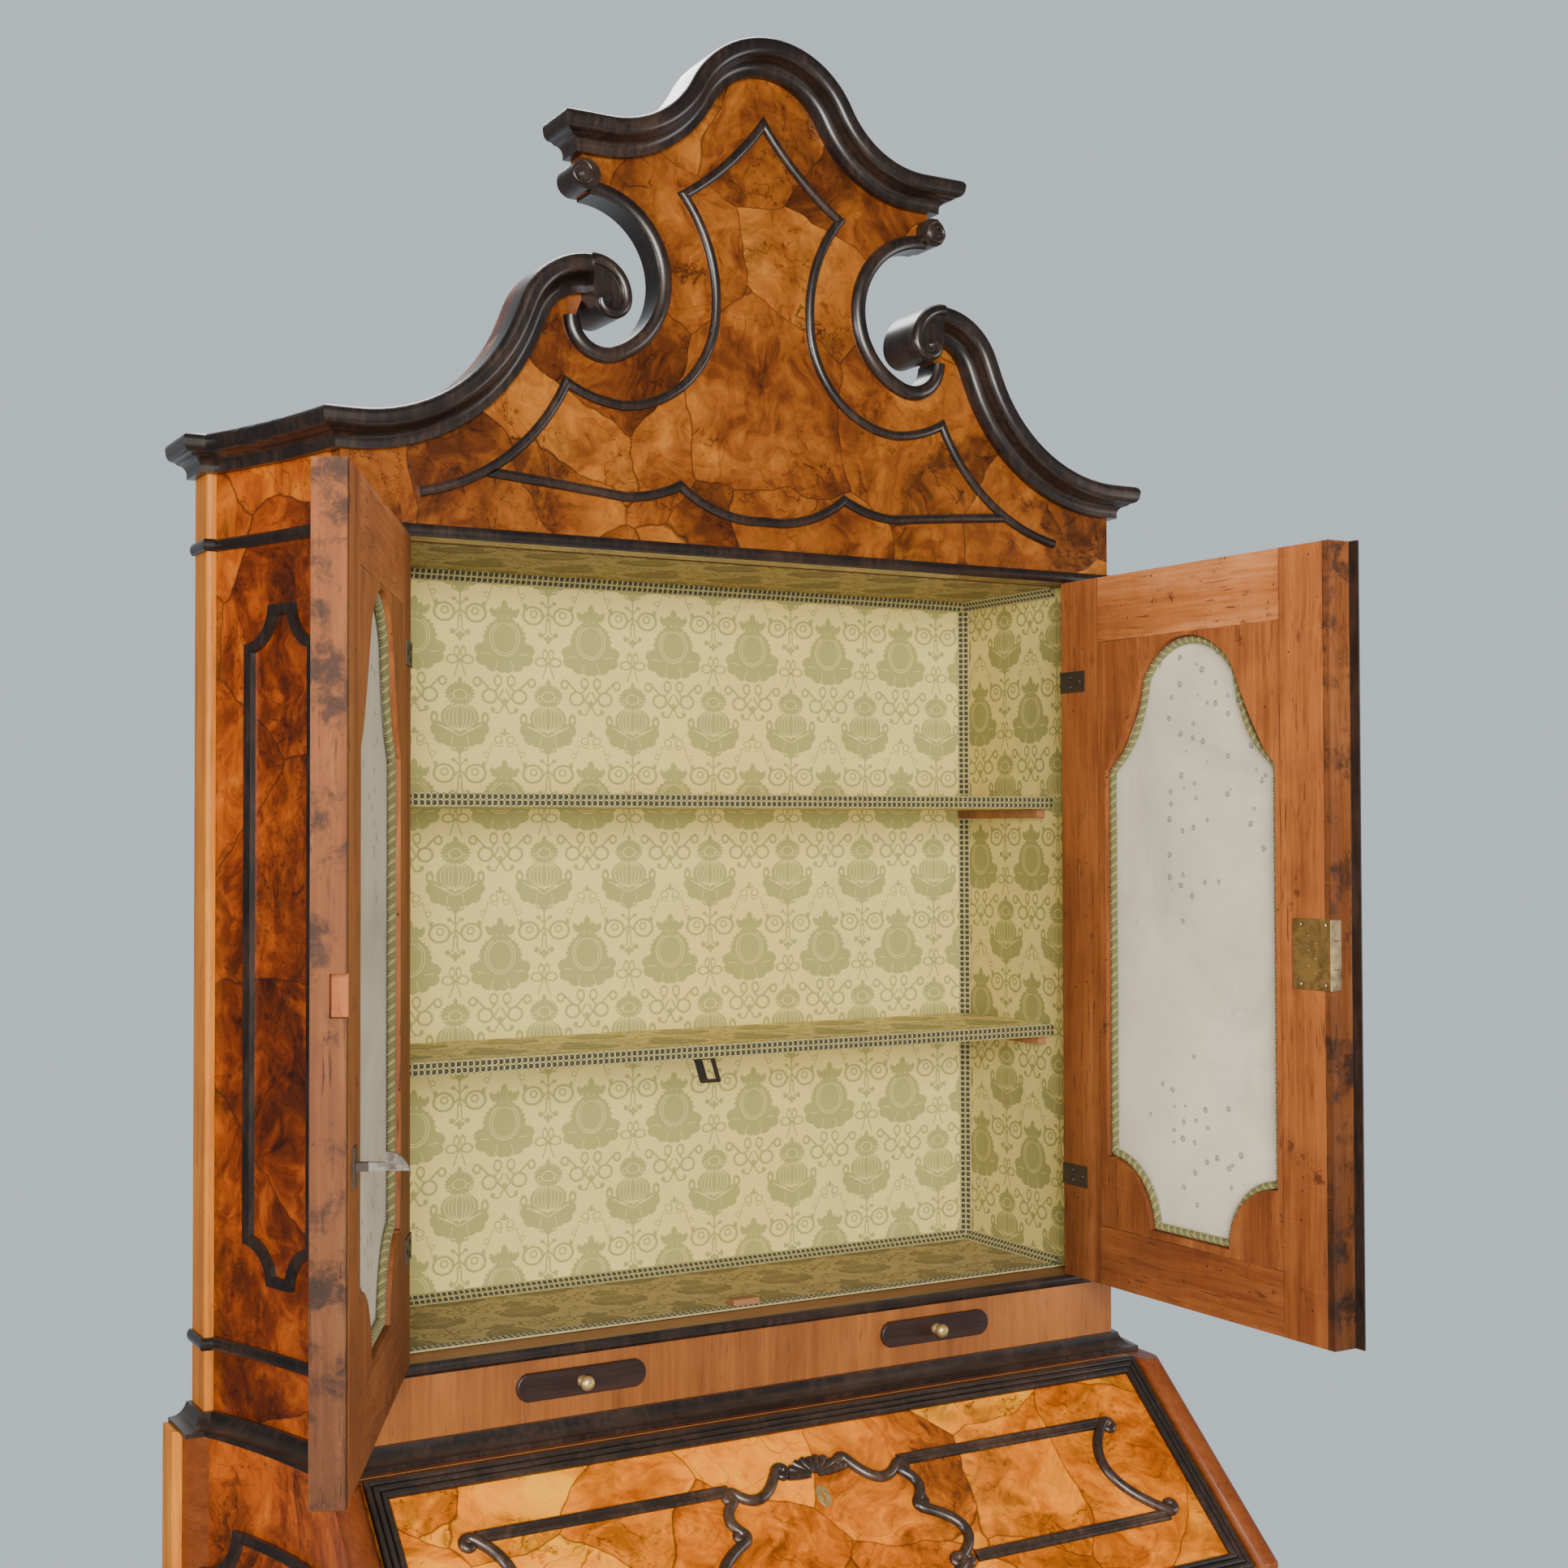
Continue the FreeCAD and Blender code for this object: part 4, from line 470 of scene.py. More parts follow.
def door_boards(g, side):
    """Boards of a door, from where a point lies when the door is shut.

    Returns the place with the grain turned in the rails, the joints, a lift of tone, the lipping and
    the painted light and shade, lighter towards the free stile and the top.
    """
    mirror = 1.0 if side == "right" else -1.0
    hinge = (mirror * door_hinge_x * MM, 0.0, 0.0)
    turn = -mirror * math.radians(door_turn[side])
    moved = g.vector("SUBTRACT", g.place(), hinge)
    shut = g.stretch(moved, (1.0, 1.0, 1.0), (0.0, 0.0, turn))
    x, y, z = g.parts(shut)
    across = abs(x) * 1000.0
    rise = z * 1000.0
    far_joint = door_wide - stile_joint
    lipping_joint = door_wide - lipping
    stile_in = g.step(across, stile_joint - joint_half, stile_joint + joint_half)
    stile_out = g.step(across, far_joint + joint_half, far_joint - joint_half)
    between_stiles = stile_in * stile_out
    in_top = g.step(rise, top_rail_joint - joint_half, top_rail_joint + joint_half)
    in_foot = g.step(rise, foot_rail_joint + joint_half, foot_rail_joint - joint_half)
    rail = between_stiles * g.most(in_top, in_foot)
    lines = g.least(
        abs(across - stile_joint),
        abs(across - far_joint),
        g.most(abs(rise - top_rail_joint), (1.0 - between_stiles) * 9.0),
        g.most(abs(rise - foot_rail_joint), (1.0 - between_stiles) * 9.0),
        abs(across - lipping_joint),
    )
    uneven = g.noise(shut, 30.0, 3.0) * 0.7
    joint = (1.0 - g.step(lines, 0.15, 0.75)) * g.step(uneven, 0.25, 0.4)
    far_stile = (1.0 - between_stiles) * g.step(across, 300.0, 301.0)
    far = between_stiles * 3.0 + rail * 5.0 + far_stile * 2.0
    upright = g.join(x + far, y, z)
    level = g.join(z + far, y, x)
    turned = g.wire("Mix", {"data_type": "VECTOR"}, {0: rail, 4: upright, 5: level}, 1)
    edge = g.step(across, lipping_joint - 0.3, lipping_joint + 0.3)
    reveal = g.step(y * 1000.0, door_thick - 1.0, door_thick - reveal_deep)
    lift = edge * 0.03 + reveal * 0.08 + in_top * between_stiles * 0.14
    between_rails = top_rail_joint - foot_rail_joint
    # Painted light and shade: the boards grow lighter towards the free stile and the top, darker towards
    # the hinge and the foot
    age_and_painted_light = 0.5 + across * (0.35 / door_wide) + (rise - foot_rail_joint) * (0.35 / between_rails)
    return turned, joint, lift, edge, age_and_painted_light


def ebonised(name, black, brown, seed, top_dust_and_light_level=0.5):
    """Blackened and polished wood, brown where it is rubbed, paler on top with dust and painted light from
    above.
    """
    g = Graph(bpy.data.materials.new(name))
    p = g.vector("ADD", g.place(), (seed, seed, seed))
    rub = g.noise(p, 14.0, 5.0, 0.6)
    grain = g.noise(g.stretch(p, (160.0, 160.0, 30.0)), 1.0, 4.0, 0.6)
    colour = g.mix(g.step(rub * 0.7 + grain * 0.5, 0.5, 0.86), black, brown)
    # Upward faces are paled towards grey-brown: dust, and painted light from above
    up = g.parts(g.wire("NewGeometry", {}, {}, "Normal"))[2]
    top_dust_and_painted_light = g.step(up, 0.4, 1.0) * g.noise(p, 30.0, 4.0, 0.7) * top_dust_and_light_level
    colour = g.mix(top_dust_and_painted_light * 0.5, colour, (0.16, 0.13, 0.105))
    rough = 0.24 + rub * 0.16 + grain * 0.1 + top_dust_and_painted_light * 0.25
    height = grain * 0.5 + rub * 0.5
    shader = g.principled(colour, rough, g.bump(height, 0.0004, 0.35), coat_weight=0.25, coat_roughness=0.2)
    return g.finish(shader)


def metal(name, bright, dull, seed, rough_base, metallic=1.0):
    """Cast or wrought metal with tarnish, small pits and fine scratches."""
    g = Graph(bpy.data.materials.new(name))
    p = g.vector("ADD", g.place(), (seed, seed, seed))
    stain = g.noise(p, 45.0, 5.0, 0.65, 0.6)
    pit = g.noise(p, 600.0, 3.0, 0.6)
    line = g.noise(g.stretch(p, (40.0, 1500.0, 1500.0), (0.2, 0.6, 0.1)), 1.0, 2.0)
    colour = g.mix(g.step(stain, 0.36, 0.68), bright, dull)
    colour = g.mix(g.step(pit, 0.62, 0.72) * 0.5, colour, [x * 0.35 for x in dull])
    rough = rough_base + stain * 0.25 + line * 0.1
    height = pit * 0.6 + line * 0.4
    shader = g.principled(colour, rough, g.bump(height, 0.0002, 0.4), metallic=metallic)
    return g.finish(shader)


def damask(name, ground_tone, motif_tone):
    """Two-tone figured silk on the piece's own map, in metres: flowers, fruit, bows and scrolls."""
    g = Graph(bpy.data.materials.new(name))
    flat = g.wire("UVMap", {"uv_map": "cloth"}, {})
    u, v = g.parts(g.shift(flat, 220.0, 0.0009))[:2]
    u = u * 1000.0
    v = v * -1000.0

    def near(value, size, middle):
        """Distance from the middle of a repeat, from minus half to plus half of the size."""
        moved = value - (middle - size / 2)
        return g.math("FLOORED_MODULO", moved, size) - size / 2

    def span(a, b):
        return g.math("SQRT", g.math("MULTIPLY_ADD", a, a, b * b))

    class Motif:
        """Outlines measured across from a mirror line and down the cloth, in millimetres."""

        def __init__(self, x, y):
            self.x = x
            self.y = y

        def oval(self, cx, cy, rx, ry):
            return (span((self.x - cx) / rx, (self.y - cy) / ry) - 1.0) * min(rx, ry)

        def loop(self, cx, cy, rx, ry, width):
            return abs(self.oval(cx, cy, rx, ry)) - width / 2

        def bar(self, x1, y1, x2, y2, width):
            dx = x2 - x1
            dy = y2 - y1
            size = dx * dx + dy * dy
            along = g.math("MULTIPLY_ADD", self.x - x1, dx / size, (self.y - y1) * (dy / size))
            held = g.least(g.most(along, 0.0), 1.0)
            off = span(self.x - (held * dx + x1), self.y - (held * dy + y1))
            return off - width / 2

        def toothed(self, cx, cy, rx, ry, teeth, depth):
            a = (self.x - cx) / rx
            b = (self.y - cy) / ry
            angle = g.math("ARCTAN2", a, b)
            edge = abs(g.math("SINE", angle * (teeth / 2))) * depth
            return (span(a, b) - 1.0 + edge) * min(rx, ry)

        def figure(self, ovals=(), loops=(), bars=()):
            """One outline round all these ovals, loops and bars."""
            shapes = [self.oval(*oval) for oval in ovals]
            shapes += [self.loop(*loop) for loop in loops]
            shapes += [self.bar(*bar) for bar in bars]
            return g.least(*shapes)

    def without(shape, *lines):
        return g.most(shape, *[-line for line in lines])

    f = Motif(abs(near(u, tile_wide, 0.0)), near(v, tile_tall, 36.0) + 36.0)
    bow = f.figure(
        ovals=[(0, -40, 2.4, 2.4)],
        loops=[(9.5, -41, 7, 5, 1.9), (4, -50, 3, 6, 1.7)],
        bars=[(1, -39, 7.5, -21, 1.7)],
    )
    daisy = g.least(f.toothed(0, 0, 20, 15, 20, 0.16), f.oval(0, -14, 3, 6))
    daisy = without(daisy, f.loop(0, 1, 8, 6, 0.9), f.loop(11, 4, 3, 3, 0.7))
    bulb = without(f.oval(0, 28, 24, 16.5), *[f.loop(0, 28, rx, 15.5, 0.8) for rx in (4, 9, 14, 19)])
    skirt = f.figure(
        ovals=[(27, 42, 10, 9), (24, 52, 8, 8), (14, 53, 9, 10), (5, 54, 7, 11)],
        loops=[(32, 29, 3.6, 5.6, 3)],
    )
    skirt = without(skirt, f.bar(1, 50, 27, 37, 1.1), f.bar(9, 50, 11, 60, 0.8))
    bud = f.figure(
        ovals=[(0, 66, 5, 5.5), (8, 79, 3, 2.2)],
        loops=[(7, 64, 3.2, 3.6, 2)],
        bars=[(0, 66, 0, 100, 2.2), (0, 86, 7, 79, 2)],
    )
    pair = f.figure(
        ovals=[(30, 85, 2.6, 4.5)],
        loops=[(20, 95, 12.5, 10.5, 2.8), (19, 93, 4.2, 4, 2)],
        bars=[(9, 99, 1, 92, 2.4)],
    )
    tail = f.figure(
        ovals=[(10, 118, 3, 3.4), (0, 123, 2.6, 6), (4, 122, 2.4, 2.4)],
        bars=[(2.2, 98, 2.4, 114, 1.9), (2.4, 114, 8, 120, 1.9)],
    )
    p = Motif(abs(near(u, tile_wide, tile_wide / 2)), near(v, tile_tall, 70.0) + 70.0)
    four = p.figure(
        ovals=[(0, 9, 3.6, 5), (15, 18, 2.8, 3.2)],
        loops=[(35, -15, 4.4, 4.8, 2.6), (19, 2, 9, 8, 2.8), (8.5, -17, 4.6, 6, 2.2)],
        bars=[
            (31, -18, 19, -6, 2.6), (6, -11, 13, -4, 2.2), (2, -6, 8, 4, 2.2), (8, 4, 0, 12, 2.4),
            (1, 12, 7, 22, 2.2), (7, 22, 14, 21, 2.2),
        ],
    )
    thread = p.figure(
        ovals=[(0, 45, 2.2, 4.6), (4, 47, 2, 1.6)],
        loops=[(8, 54, 4.6, 4.2, 1.5), (23, 72, 3, 3, 1.2)],
        bars=[(3, 56, 5, 63, 1.2), (5, 63, 16, 59, 1.2), (16, 59, 19, 71, 1.2), (20, 73, 24, 84, 0.9)],
    )
    crown = p.figure(
        ovals=[(0, 90, 5, 12), (7.5, 95, 3.6, 9), (13, 94, 4, 5), (17, 91, 2.2, 4)],
        bars=[(0, 103, 9, 103, 6)],
    )
    fruit = p.toothed(0, 126, 29, 28, 26, 0.09)
    fruit = without(fruit, p.loop(0, 124, 19, 21, 1), p.loop(0, 124, 15.5, 18, 0.8))
    husk = p.figure(ovals=[(29, 138, 10, 8), (26, 149, 11, 8), (15, 155, 10, 9), (4, 158, 6.5, 8)])
    husk = without(husk, p.bar(2, 146, 30, 142, 0.9), p.bar(7, 147, 12, 162, 0.8))
    shape = g.least(bow, daisy, bulb, skirt, bud, pair, tail, four, thread, crown, fruit, husk)
    inner = g.step(shape, 0.5, -0.5)
    weave = g.math("SINE", u * (2 * math.pi / 0.55)) * g.math("SINE", v * (2 * math.pi / 0.62))
    slub = g.noise(g.stretch(flat, (140.0, 900.0, 1.0)), 1.0, 3.0, 0.6)
    fade = g.noise(flat, 5.0, 4.0, 0.6)
    colour = g.mix(inner * 0.95, ground_tone, motif_tone)
    colour = g.shade(colour, 0.8 + slub * 0.16 + fade * 0.24 + weave * 0.03)
    age_and_painted_light = g.step(g.noise(flat, 3.6, 5.0, 0.65), 0.46, 0.74)
    colour = g.mix(age_and_painted_light * 0.3, colour, g.vector("MULTIPLY", colour, (0.72, 0.7, 0.62)))
    warm = g.step(g.noise(g.vector("ADD", flat, (3.0, 7.0, 0.0)), 2.4, 3.0), 0.45, 0.7)
    colour = g.mix(warm * 0.4, colour, g.vector("MULTIPLY", colour, (1.04, 0.93, 0.72)))
    rough = 0.62 + inner * 0.16 - slub * 0.1
    height = weave * 0.4 + inner * 0.9 + slub * 0.4 + fade * 2.0
    shader = g.principled(
        colour, rough, g.bump(height, 0.0002, 0.6), specular_ior_level=0.2, sheen_weight=0.04,
        sheen_roughness=0.4
    )
    return g.finish(shader)


def strand(name, first, second):
    """Silk strands: two tones shared out by the attribute of the strand, with fine fibres."""
    g = Graph(bpy.data.materials.new(name))
    tone = g.wire("Attribute", {"attribute_name": "strand"}, {}, "Fac")
    p = g.place()
    fibre = g.noise(p, 1800.0, 3.0, 0.6)
    grime = g.noise(p, 60.0, 4.0, 0.6)
    colour = g.mix(g.step(tone, 0.35, 0.65), first, second)
    colour = g.shade(colour, 0.62 + fibre * 0.4 + grime * 0.3)
    shader = g.principled(colour, 0.55 + fibre * 0.2, g.bump(fibre, 0.0002, 0.6), sheen_weight=0.2)
    return g.finish(shader)


def silvered(name, inside, spot):
    """Old looking glass: a mirror in front, and the grey, spotted silvering seen from behind."""
    g = Graph(bpy.data.materials.new(name))
    p = g.place()
    behind = g.step(g.dot(g.vector("SUBTRACT", p, spot), inside), -0.0002, 0.0002)
    cloud = g.noise(p, 6.0, 5.0, 0.6, 0.8)
    speck = g.noise(p, 420.0, 4.0, 0.7)
    level = inside.cross(Vector((0, 0, 1)))
    on_pane = g.join(g.dot(p, level), g.parts(p)[2], 0.0)
    rough_edged = g.shift(on_pane, 150.0, 0.004)
    fox = g.cells(rough_edged, 52.0, flat=True)
    pick = g.parts(g.cells(rough_edged, 52.0, output="Color", flat=True))[0]
    crowd = g.step(g.noise(p, 5.0, 3.0, 0.6) * 0.8 + pick * 0.2, 0.59, 0.6)
    size = pick * 0.17 + 0.03
    halo = (1.0 - g.step(fox / size, 0.7, 1.25)) * crowd
    heart = (1.0 - g.step(fox / size, 0.35, 0.6)) * crowd
    greys = ((0.3, (0.44, 0.41, 0.32)), (0.5, (0.55, 0.51, 0.4)), (0.7, (0.64, 0.59, 0.47)))
    tone = g.ramp(cloud, greys)
    tone = g.mix(g.step(speck, 0.6, 0.72) * 0.35, tone, (0.16, 0.16, 0.14))
    tone = g.mix(halo * 0.75, tone, (0.075, 0.08, 0.065))
    tone = g.mix(heart * 0.75, tone, (0.46, 0.47, 0.44))
    creased = abs(g.noise(g.shift(p, 20.0, 0.04), 30.0, 4.0, 0.6) - 0.5)
    stain = g.step(g.noise(p, 4.5, 3.0), 0.58, 0.68)
    tone = g.mix((1.0 - g.step(creased, 0.01, 0.04)) * stain * 0.6, tone, (0.6, 0.6, 0.57))
    back = g.principled(tone, 0.65 + cloud * 0.2, g.bump(speck, 0.0002, 0.4), specular_ior_level=0.15)
    haze = g.step(g.noise(p, 12.0, 5.0, 0.65), 0.55, 0.85)
    front_tone = g.mix(haze * 0.5, (0.78, 0.8, 0.79), (0.36, 0.35, 0.32))
    front = g.principled(front_tone, 0.03 + haze * 0.14, metallic=1.0)
    both_sides = g.wire("MixShader", {}, {0: behind, 1: front, 2: back})
    return g.finish(both_sides)


# Tones from dark to light, each with its place in the figure
gold_tones = (
    (0.1, (0.0242, 0.00612, 0.00253)),
    (0.34, (0.121, 0.0306, 0.00578)),
    (0.58, (0.248, 0.0715, 0.0101)),
    (0.9, (0.398, 0.147, 0.0217)),
)
red_tones = (
    (0.1, (0.0273, 0.0044, 0.000871)),
    (0.34, (0.157, 0.0244, 0.00202)),
    (0.56, (0.378, 0.0713, 0.00374)),
    (0.88, (0.576, 0.152, 0.00871)),
)
bright_tones = (
    (0.08, (0.0906, 0.0198, 0.00119)),
    (0.3, (0.438, 0.0989, 0.00328)),
    (0.54, (0.816, 0.227, 0.00597)),
    (0.88, (0.9, 0.383, 0.0134)),
)
walnut_tones = (
    (0.12, (0.05, 0.014, 0.005)),
    (0.42, (0.18, 0.058, 0.016)),
    (0.66, (0.31, 0.11, 0.03)),
    (0.95, (0.44, 0.18, 0.055)),
)
strip_tones = (
    (0.12, (0.163, 0.0429, 0.00314)),
    (0.5, (0.488, 0.15, 0.00896)),
    (0.95, (0.812, 0.314, 0.0224)),
)
door_tones = (
    (0.1, (0.0566, 0.0136, 0.00442)),
    (0.4, (0.215, 0.0566, 0.0133)),
    (0.64, (0.351, 0.107, 0.0243)),
    (0.95, (0.543, 0.215, 0.0773)),
)
frieze_tones = (
    (0.1, (0.101, 0.0273, 0.00454)),
    (0.5, (0.225, 0.0689, 0.0103)),
    (0.95, (0.356, 0.123, 0.0194)),
)
cheek_tones = (
    (0.1, (0.059, 0.0112, 0.00273)),
    (0.5, (0.158, 0.0349, 0.00637)),
    (0.95, (0.25, 0.0703, 0.0136)),
)
slide_tones = (
    (0.12, (0.00468, 0.00168, 0.00115)),
    (0.5, (0.0156, 0.0042, 0.00231)),
    (0.95, (0.0429, 0.0126, 0.00539)),
)
pine_tones = (
    (0.1, (0.1, 0.036, 0.012)),
    (0.5, (0.27, 0.115, 0.04)),
    (0.95, (0.44, 0.22, 0.088)),
)

pediment_burl = burl("burl_pediment", gold_tones, leaf=0.17, seed=3.1, gloss=0.2)
side_burl = burl("burl_sides", red_tones, leaf=0.26, seed=8.4)
door_burl = burl("burl_doors", gold_tones, leaf=0.19, seed=21.6, gloss=0.2)
fall_burl = burl("burl_fall", bright_tones, leaf=0.17, seed=12.7, smoke=0.85, gloss=0.22)
drawer_burl = burl("burl_drawers", gold_tones, leaf=0.19, seed=17.2)
frieze_wood = grained(
    "walnut_frieze", frieze_tones, along=2, seed=2.2, pore=0.5, worm=0.0, polish=0.35, rough_base=0.26,
    blocks=0.062
)
strip_wood = grained(
    "walnut_strips", strip_tones, along=2, seed=5.2, pore=0.45, worm=0.4, polish=0.05, rough_base=0.4,
    gloss=0.25
)
door_wear = {"pore": 0.75, "worm": 1.0, "polish": 0.0, "rough_base": 0.5, "gloss": 0.25}
left_door_wood = grained("left_door_wood", door_tones, along=2, seed=9.1, door="left", **door_wear)
right_door_wood = grained("right_door_wood", door_tones, along=2, seed=3.3, door="right", **door_wear)
cheek_wood = grained(
    "cheek_wood", cheek_tones, along=1, seed=2.9, pore=0.3, worm=0.7, polish=0.15, gloss=0.3
)
slide_wood = grained("slide_wood", slide_tones, along=0, seed=4.4, worm=0.0, polish=0.25, rough_base=0.26)
top_wood = grained(
    "walnut_top", cheek_tones, along=1, seed=8.8, rough_base=0.28, blocks=0.03, inlay=top_inlay
)
pine_wear = {"pore": 0.35, "worm": 0.5, "polish": 0.0, "rough_base": 0.55}
pine_up = grained("carcase_upright", pine_tones, along=2, seed=6.1, **pine_wear)
pine_across = grained("carcase_across", pine_tones, along=0, seed=7.3, **pine_wear)
walnut_across = grained("walnut_across", walnut_tones, along=0, seed=1.4, pore=0.5)
ebony = ebonised("ebonised", (0.008, 0.005, 0.004), (0.04, 0.019, 0.011), 1.0)
carved_ebony = ebonised("ebonised_carving", (0.012, 0.0065, 0.0045), (0.075, 0.034, 0.016), 4.0, 0.3)
brass = metal("old_brass", (0.46, 0.33, 0.17), (0.21, 0.145, 0.08), 1.5, 0.28)
knob_brass = metal("rubbed_brass", (0.62, 0.45, 0.19), (0.4, 0.27, 0.1), 2.5, 0.25, 0.75)
iron = metal("black_iron", (0.028, 0.026, 0.024), (0.055, 0.034, 0.022), 3.5, 0.4, 0.55)
steel = metal("rubbed_steel", (0.2, 0.19, 0.18), (0.08, 0.065, 0.05), 5.5, 0.4)
silk = damask("damask_silk", (0.74, 0.605, 0.205), (0.345, 0.325, 0.11))
# The side walls take a darker copy of the same silk: painted shade
shaded_wall_silk = damask("damask_walls_painted_shade", (0.6, 0.49, 0.17), (0.25, 0.235, 0.08))
# Floor and ceiling take a still darker copy of the same silk: painted shade as well as wear
worn_and_shaded_silk = damask("damask_worn_and_painted_shade", (0.4, 0.3, 0.105), (0.2, 0.16, 0.05))
braid_silk = strand("braid_silk", (0.03, 0.03, 0.009), (0.38, 0.32, 0.11))
cord_silk = strand("cord_silk", (0.13, 0.12, 0.03), (0.27, 0.23, 0.075))


def linked(mesh, name):
    made = bpy.data.objects.new(name, mesh)
    bpy.context.scene.collection.objects.link(made)
    return made


def settle(made, body, material=None):
    """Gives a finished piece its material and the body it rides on."""
    if material is not None:
        made.data.materials.clear()
        made.data.materials.append(material)
    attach(made, body)
    return made


def applied(made):
    """Turns a piece with modifiers into a plain mesh."""
    bpy.context.view_layer.update()
    seen = made.evaluated_get(bpy.context.evaluated_depsgraph_get())
    plain = bpy.data.meshes.new_from_object(seen)
    made.modifiers.clear()
    old = made.data
    made.data = plain
    bpy.data.meshes.remove(old)
    return made


def refined(node, material, round_edge=0.0):
    """A finished copy of a CAD piece: merged, its sharp edges rounded, shaded by angle."""
    source = nodes[node]
    mesh = source.data.copy()
    work = bmesh.new()
    work.from_mesh(mesh)
    bmesh.ops.remove_doubles(work, verts=work.verts, dist=merge_within)
    bmesh.ops.dissolve_degenerate(work, edges=work.edges, dist=drop_under)
    if round_edge:
        bmesh.ops.dissolve_limit(
            work, angle_limit=math.radians(flat_within), verts=work.verts, edges=work.edges,
            delimit={"NORMAL"}
        )
    work.to_mesh(mesh)
    work.free()
    if "custom_normal" in mesh.attributes:
        mesh.attributes.remove(mesh.attributes["custom_normal"])
    mesh.shade_smooth()
    made = linked(mesh, node + "_look")
    if round_edge:
        bevel = made.modifiers.new("edges", "BEVEL")
        bevel.width = round_edge * MM
        bevel.segments = 2
        bevel.limit_method = "ANGLE"
        bevel.angle_limit = math.radians(round_above)
        bevel.use_clamp_overlap = True
        made.modifiers.new("shading", "WEIGHTED_NORMAL")
        made = applied(made)
    else:
        mesh.set_sharp_from_angle(angle=math.radians(sharp_above))
    settle(made, source["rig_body"], material)
    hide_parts(node)
    return made


# Slot, material, rounding of the edges in millimetres, and the pieces
looks = (
    ("burl_walnut", pediment_burl, 0.8, ("pediment_board",)),
    ("burl_walnut", side_burl, 0.0, ("cabinet_side_left", "cabinet_side_right")),
    ("burl_walnut", side_burl, 0.0, ("bureau_side_left", "bureau_side_right")),
    ("burl_walnut", fall_burl, 0.8, ("fall_panel",)),
    ("burl_walnut", top_wood, 0.8, ("bureau_top",)),
    ("plain_walnut", walnut_across, 0.8, ("top_drawer", "upper_drawer", "lower_drawer")),
    ("plain_walnut", frieze_wood, 0.8, ("candle_frieze",)),
    ("plain_walnut", strip_wood, 0.8, ("corner_strips",)),
    ("ebonised_wood", ebony, 0.0, ("plinth_and_feet",)),
    ("plain_walnut", walnut_across, 0.6, ("inner_drawer_left", "inner_drawer_right", "pigeonholes")),
    ("plain_walnut", walnut_across, 0.6, ("writing_deck", "loper_left", "loper_right")),
    ("plain_walnut", left_door_wood, 0.9, ("left_door_frame",)),
    ("plain_walnut", right_door_wood, 0.9, ("right_door_frame",)),
    ("plain_walnut", slide_wood, 1.2, ("candle_slide_left", "candle_slide_right")),
    ("carcase_wood", pine_up, 0.6, ("cabinet_back", "bureau_back")),
    ("carcase_wood", pine_across, 0.6, ("cabinet_top", "cabinet_bottom", "drawer_dividers")),
    ("carcase_wood", pine_across, 0.6, ("bearers", "shelves")),
    ("ebonised_wood", ebony, 0.0, ("base_moulding", "string_courses", "cornice", "crest_cornice")),
    ("ebonised_wood", ebony, 0.0, ("pediment_scrolls", "pediment_bead", "side_beads")),
    ("ebonised_wood", ebony, 0.0, ("left_door_moulding", "right_door_moulding", "fall_frame")),
    ("brass", brass, 0.4, ("right_door_lock", "right_lock_bolt")),
    ("brass", knob_brass, 0.4, ("fall_metalwork",)),
    ("brass", knob_brass, 0.0, ("candle_knob_left", "candle_knob_right")),
    ("brass", knob_brass, 0.0, ("top_drawer_knobs", "upper_drawer_knobs", "lower_drawer_knobs")),
    ("black_iron", iron, 0.0, ("left_door_hinges", "right_door_hinges", "carcase_hinges", "hook_keeper")),
    ("brass", brass, 0.0, ("deck_hinges",)),
    ("black_iron", steel, 0.0, ("left_door_hook",)),
)
for slot, material, round_edge, names in looks:
    for node in names:
        refined(node, material, round_edge)


slope = math.radians(fall_slope)
slope_up = Vector((0, math.cos(slope), math.sin(slope)))
slope_out = Vector((0, -math.sin(slope), math.cos(slope)))


def refaced(node, material, chosen):
    """Gives the chosen faces of a finished piece a second material."""
    mesh = bpy.data.objects[node + "_look"].data
    mesh.materials.append(material)
    for face in mesh.polygons:
        if chosen(face):
            face.material_index = 1


for side in ("left", "right"):
    refaced("bureau_side_" + side, cheek_wood, lambda face: face.normal.dot(slope_out) > 0.3)
refaced("corner_strips", cheek_wood, lambda face: face.center.y < cheek_behind * MM)
for drawer in ("top_drawer", "upper_drawer", "lower_drawer"):
    refaced(drawer, drawer_burl, lambda face: face.normal.y < -0.7 and face.center.y < drawer_front * MM)


def fall_spot(u, v, lift):
    """A point of the shut fall: across from the middle, down from its top edge, above its face."""
    hinge = Vector((0, fall_hinge[0], fall_hinge[1]))
    return (hinge + Vector((u, 0, 0)) + slope_up * (fall_long - v) + slope_out * (fall_thick + lift)) * MM


def door_spot(side, x, y, z):
    """A point of a shut door, in millimetres, where the open door has it, in metres."""
    turn = math.radians(door_turn[side])
    across = x - door_hinge_x
    moved_x = across * math.cos(turn) - y * math.sin(turn)
    moved_y = across * math.sin(turn) + y * math.cos(turn)
    mirror = 1.0 if side == "right" else -1.0
    return Vector((mirror * (door_hinge_x + moved_x), moved_y, z)) * MM


def door_heading(side):
    """Direction that the inside face of a door looks in, as it stands open."""
    ahead = door_spot(side, window_middle, 1.0, 0.0) - door_spot(side, window_middle, 0.0, 0.0)
    return ahead.normalized()


for side in ("left", "right"):
    inward = door_heading(side)
    refaced(side + "_door_frame", door_burl, lambda face: face.normal.dot(inward) < -0.7)
    middle = door_spot(side, window_middle, pane_middle, window_sill)
    glass = silvered("silvered_glass_" + side, door_heading(side), middle)
    refined(side + "_door_mirror", glass)


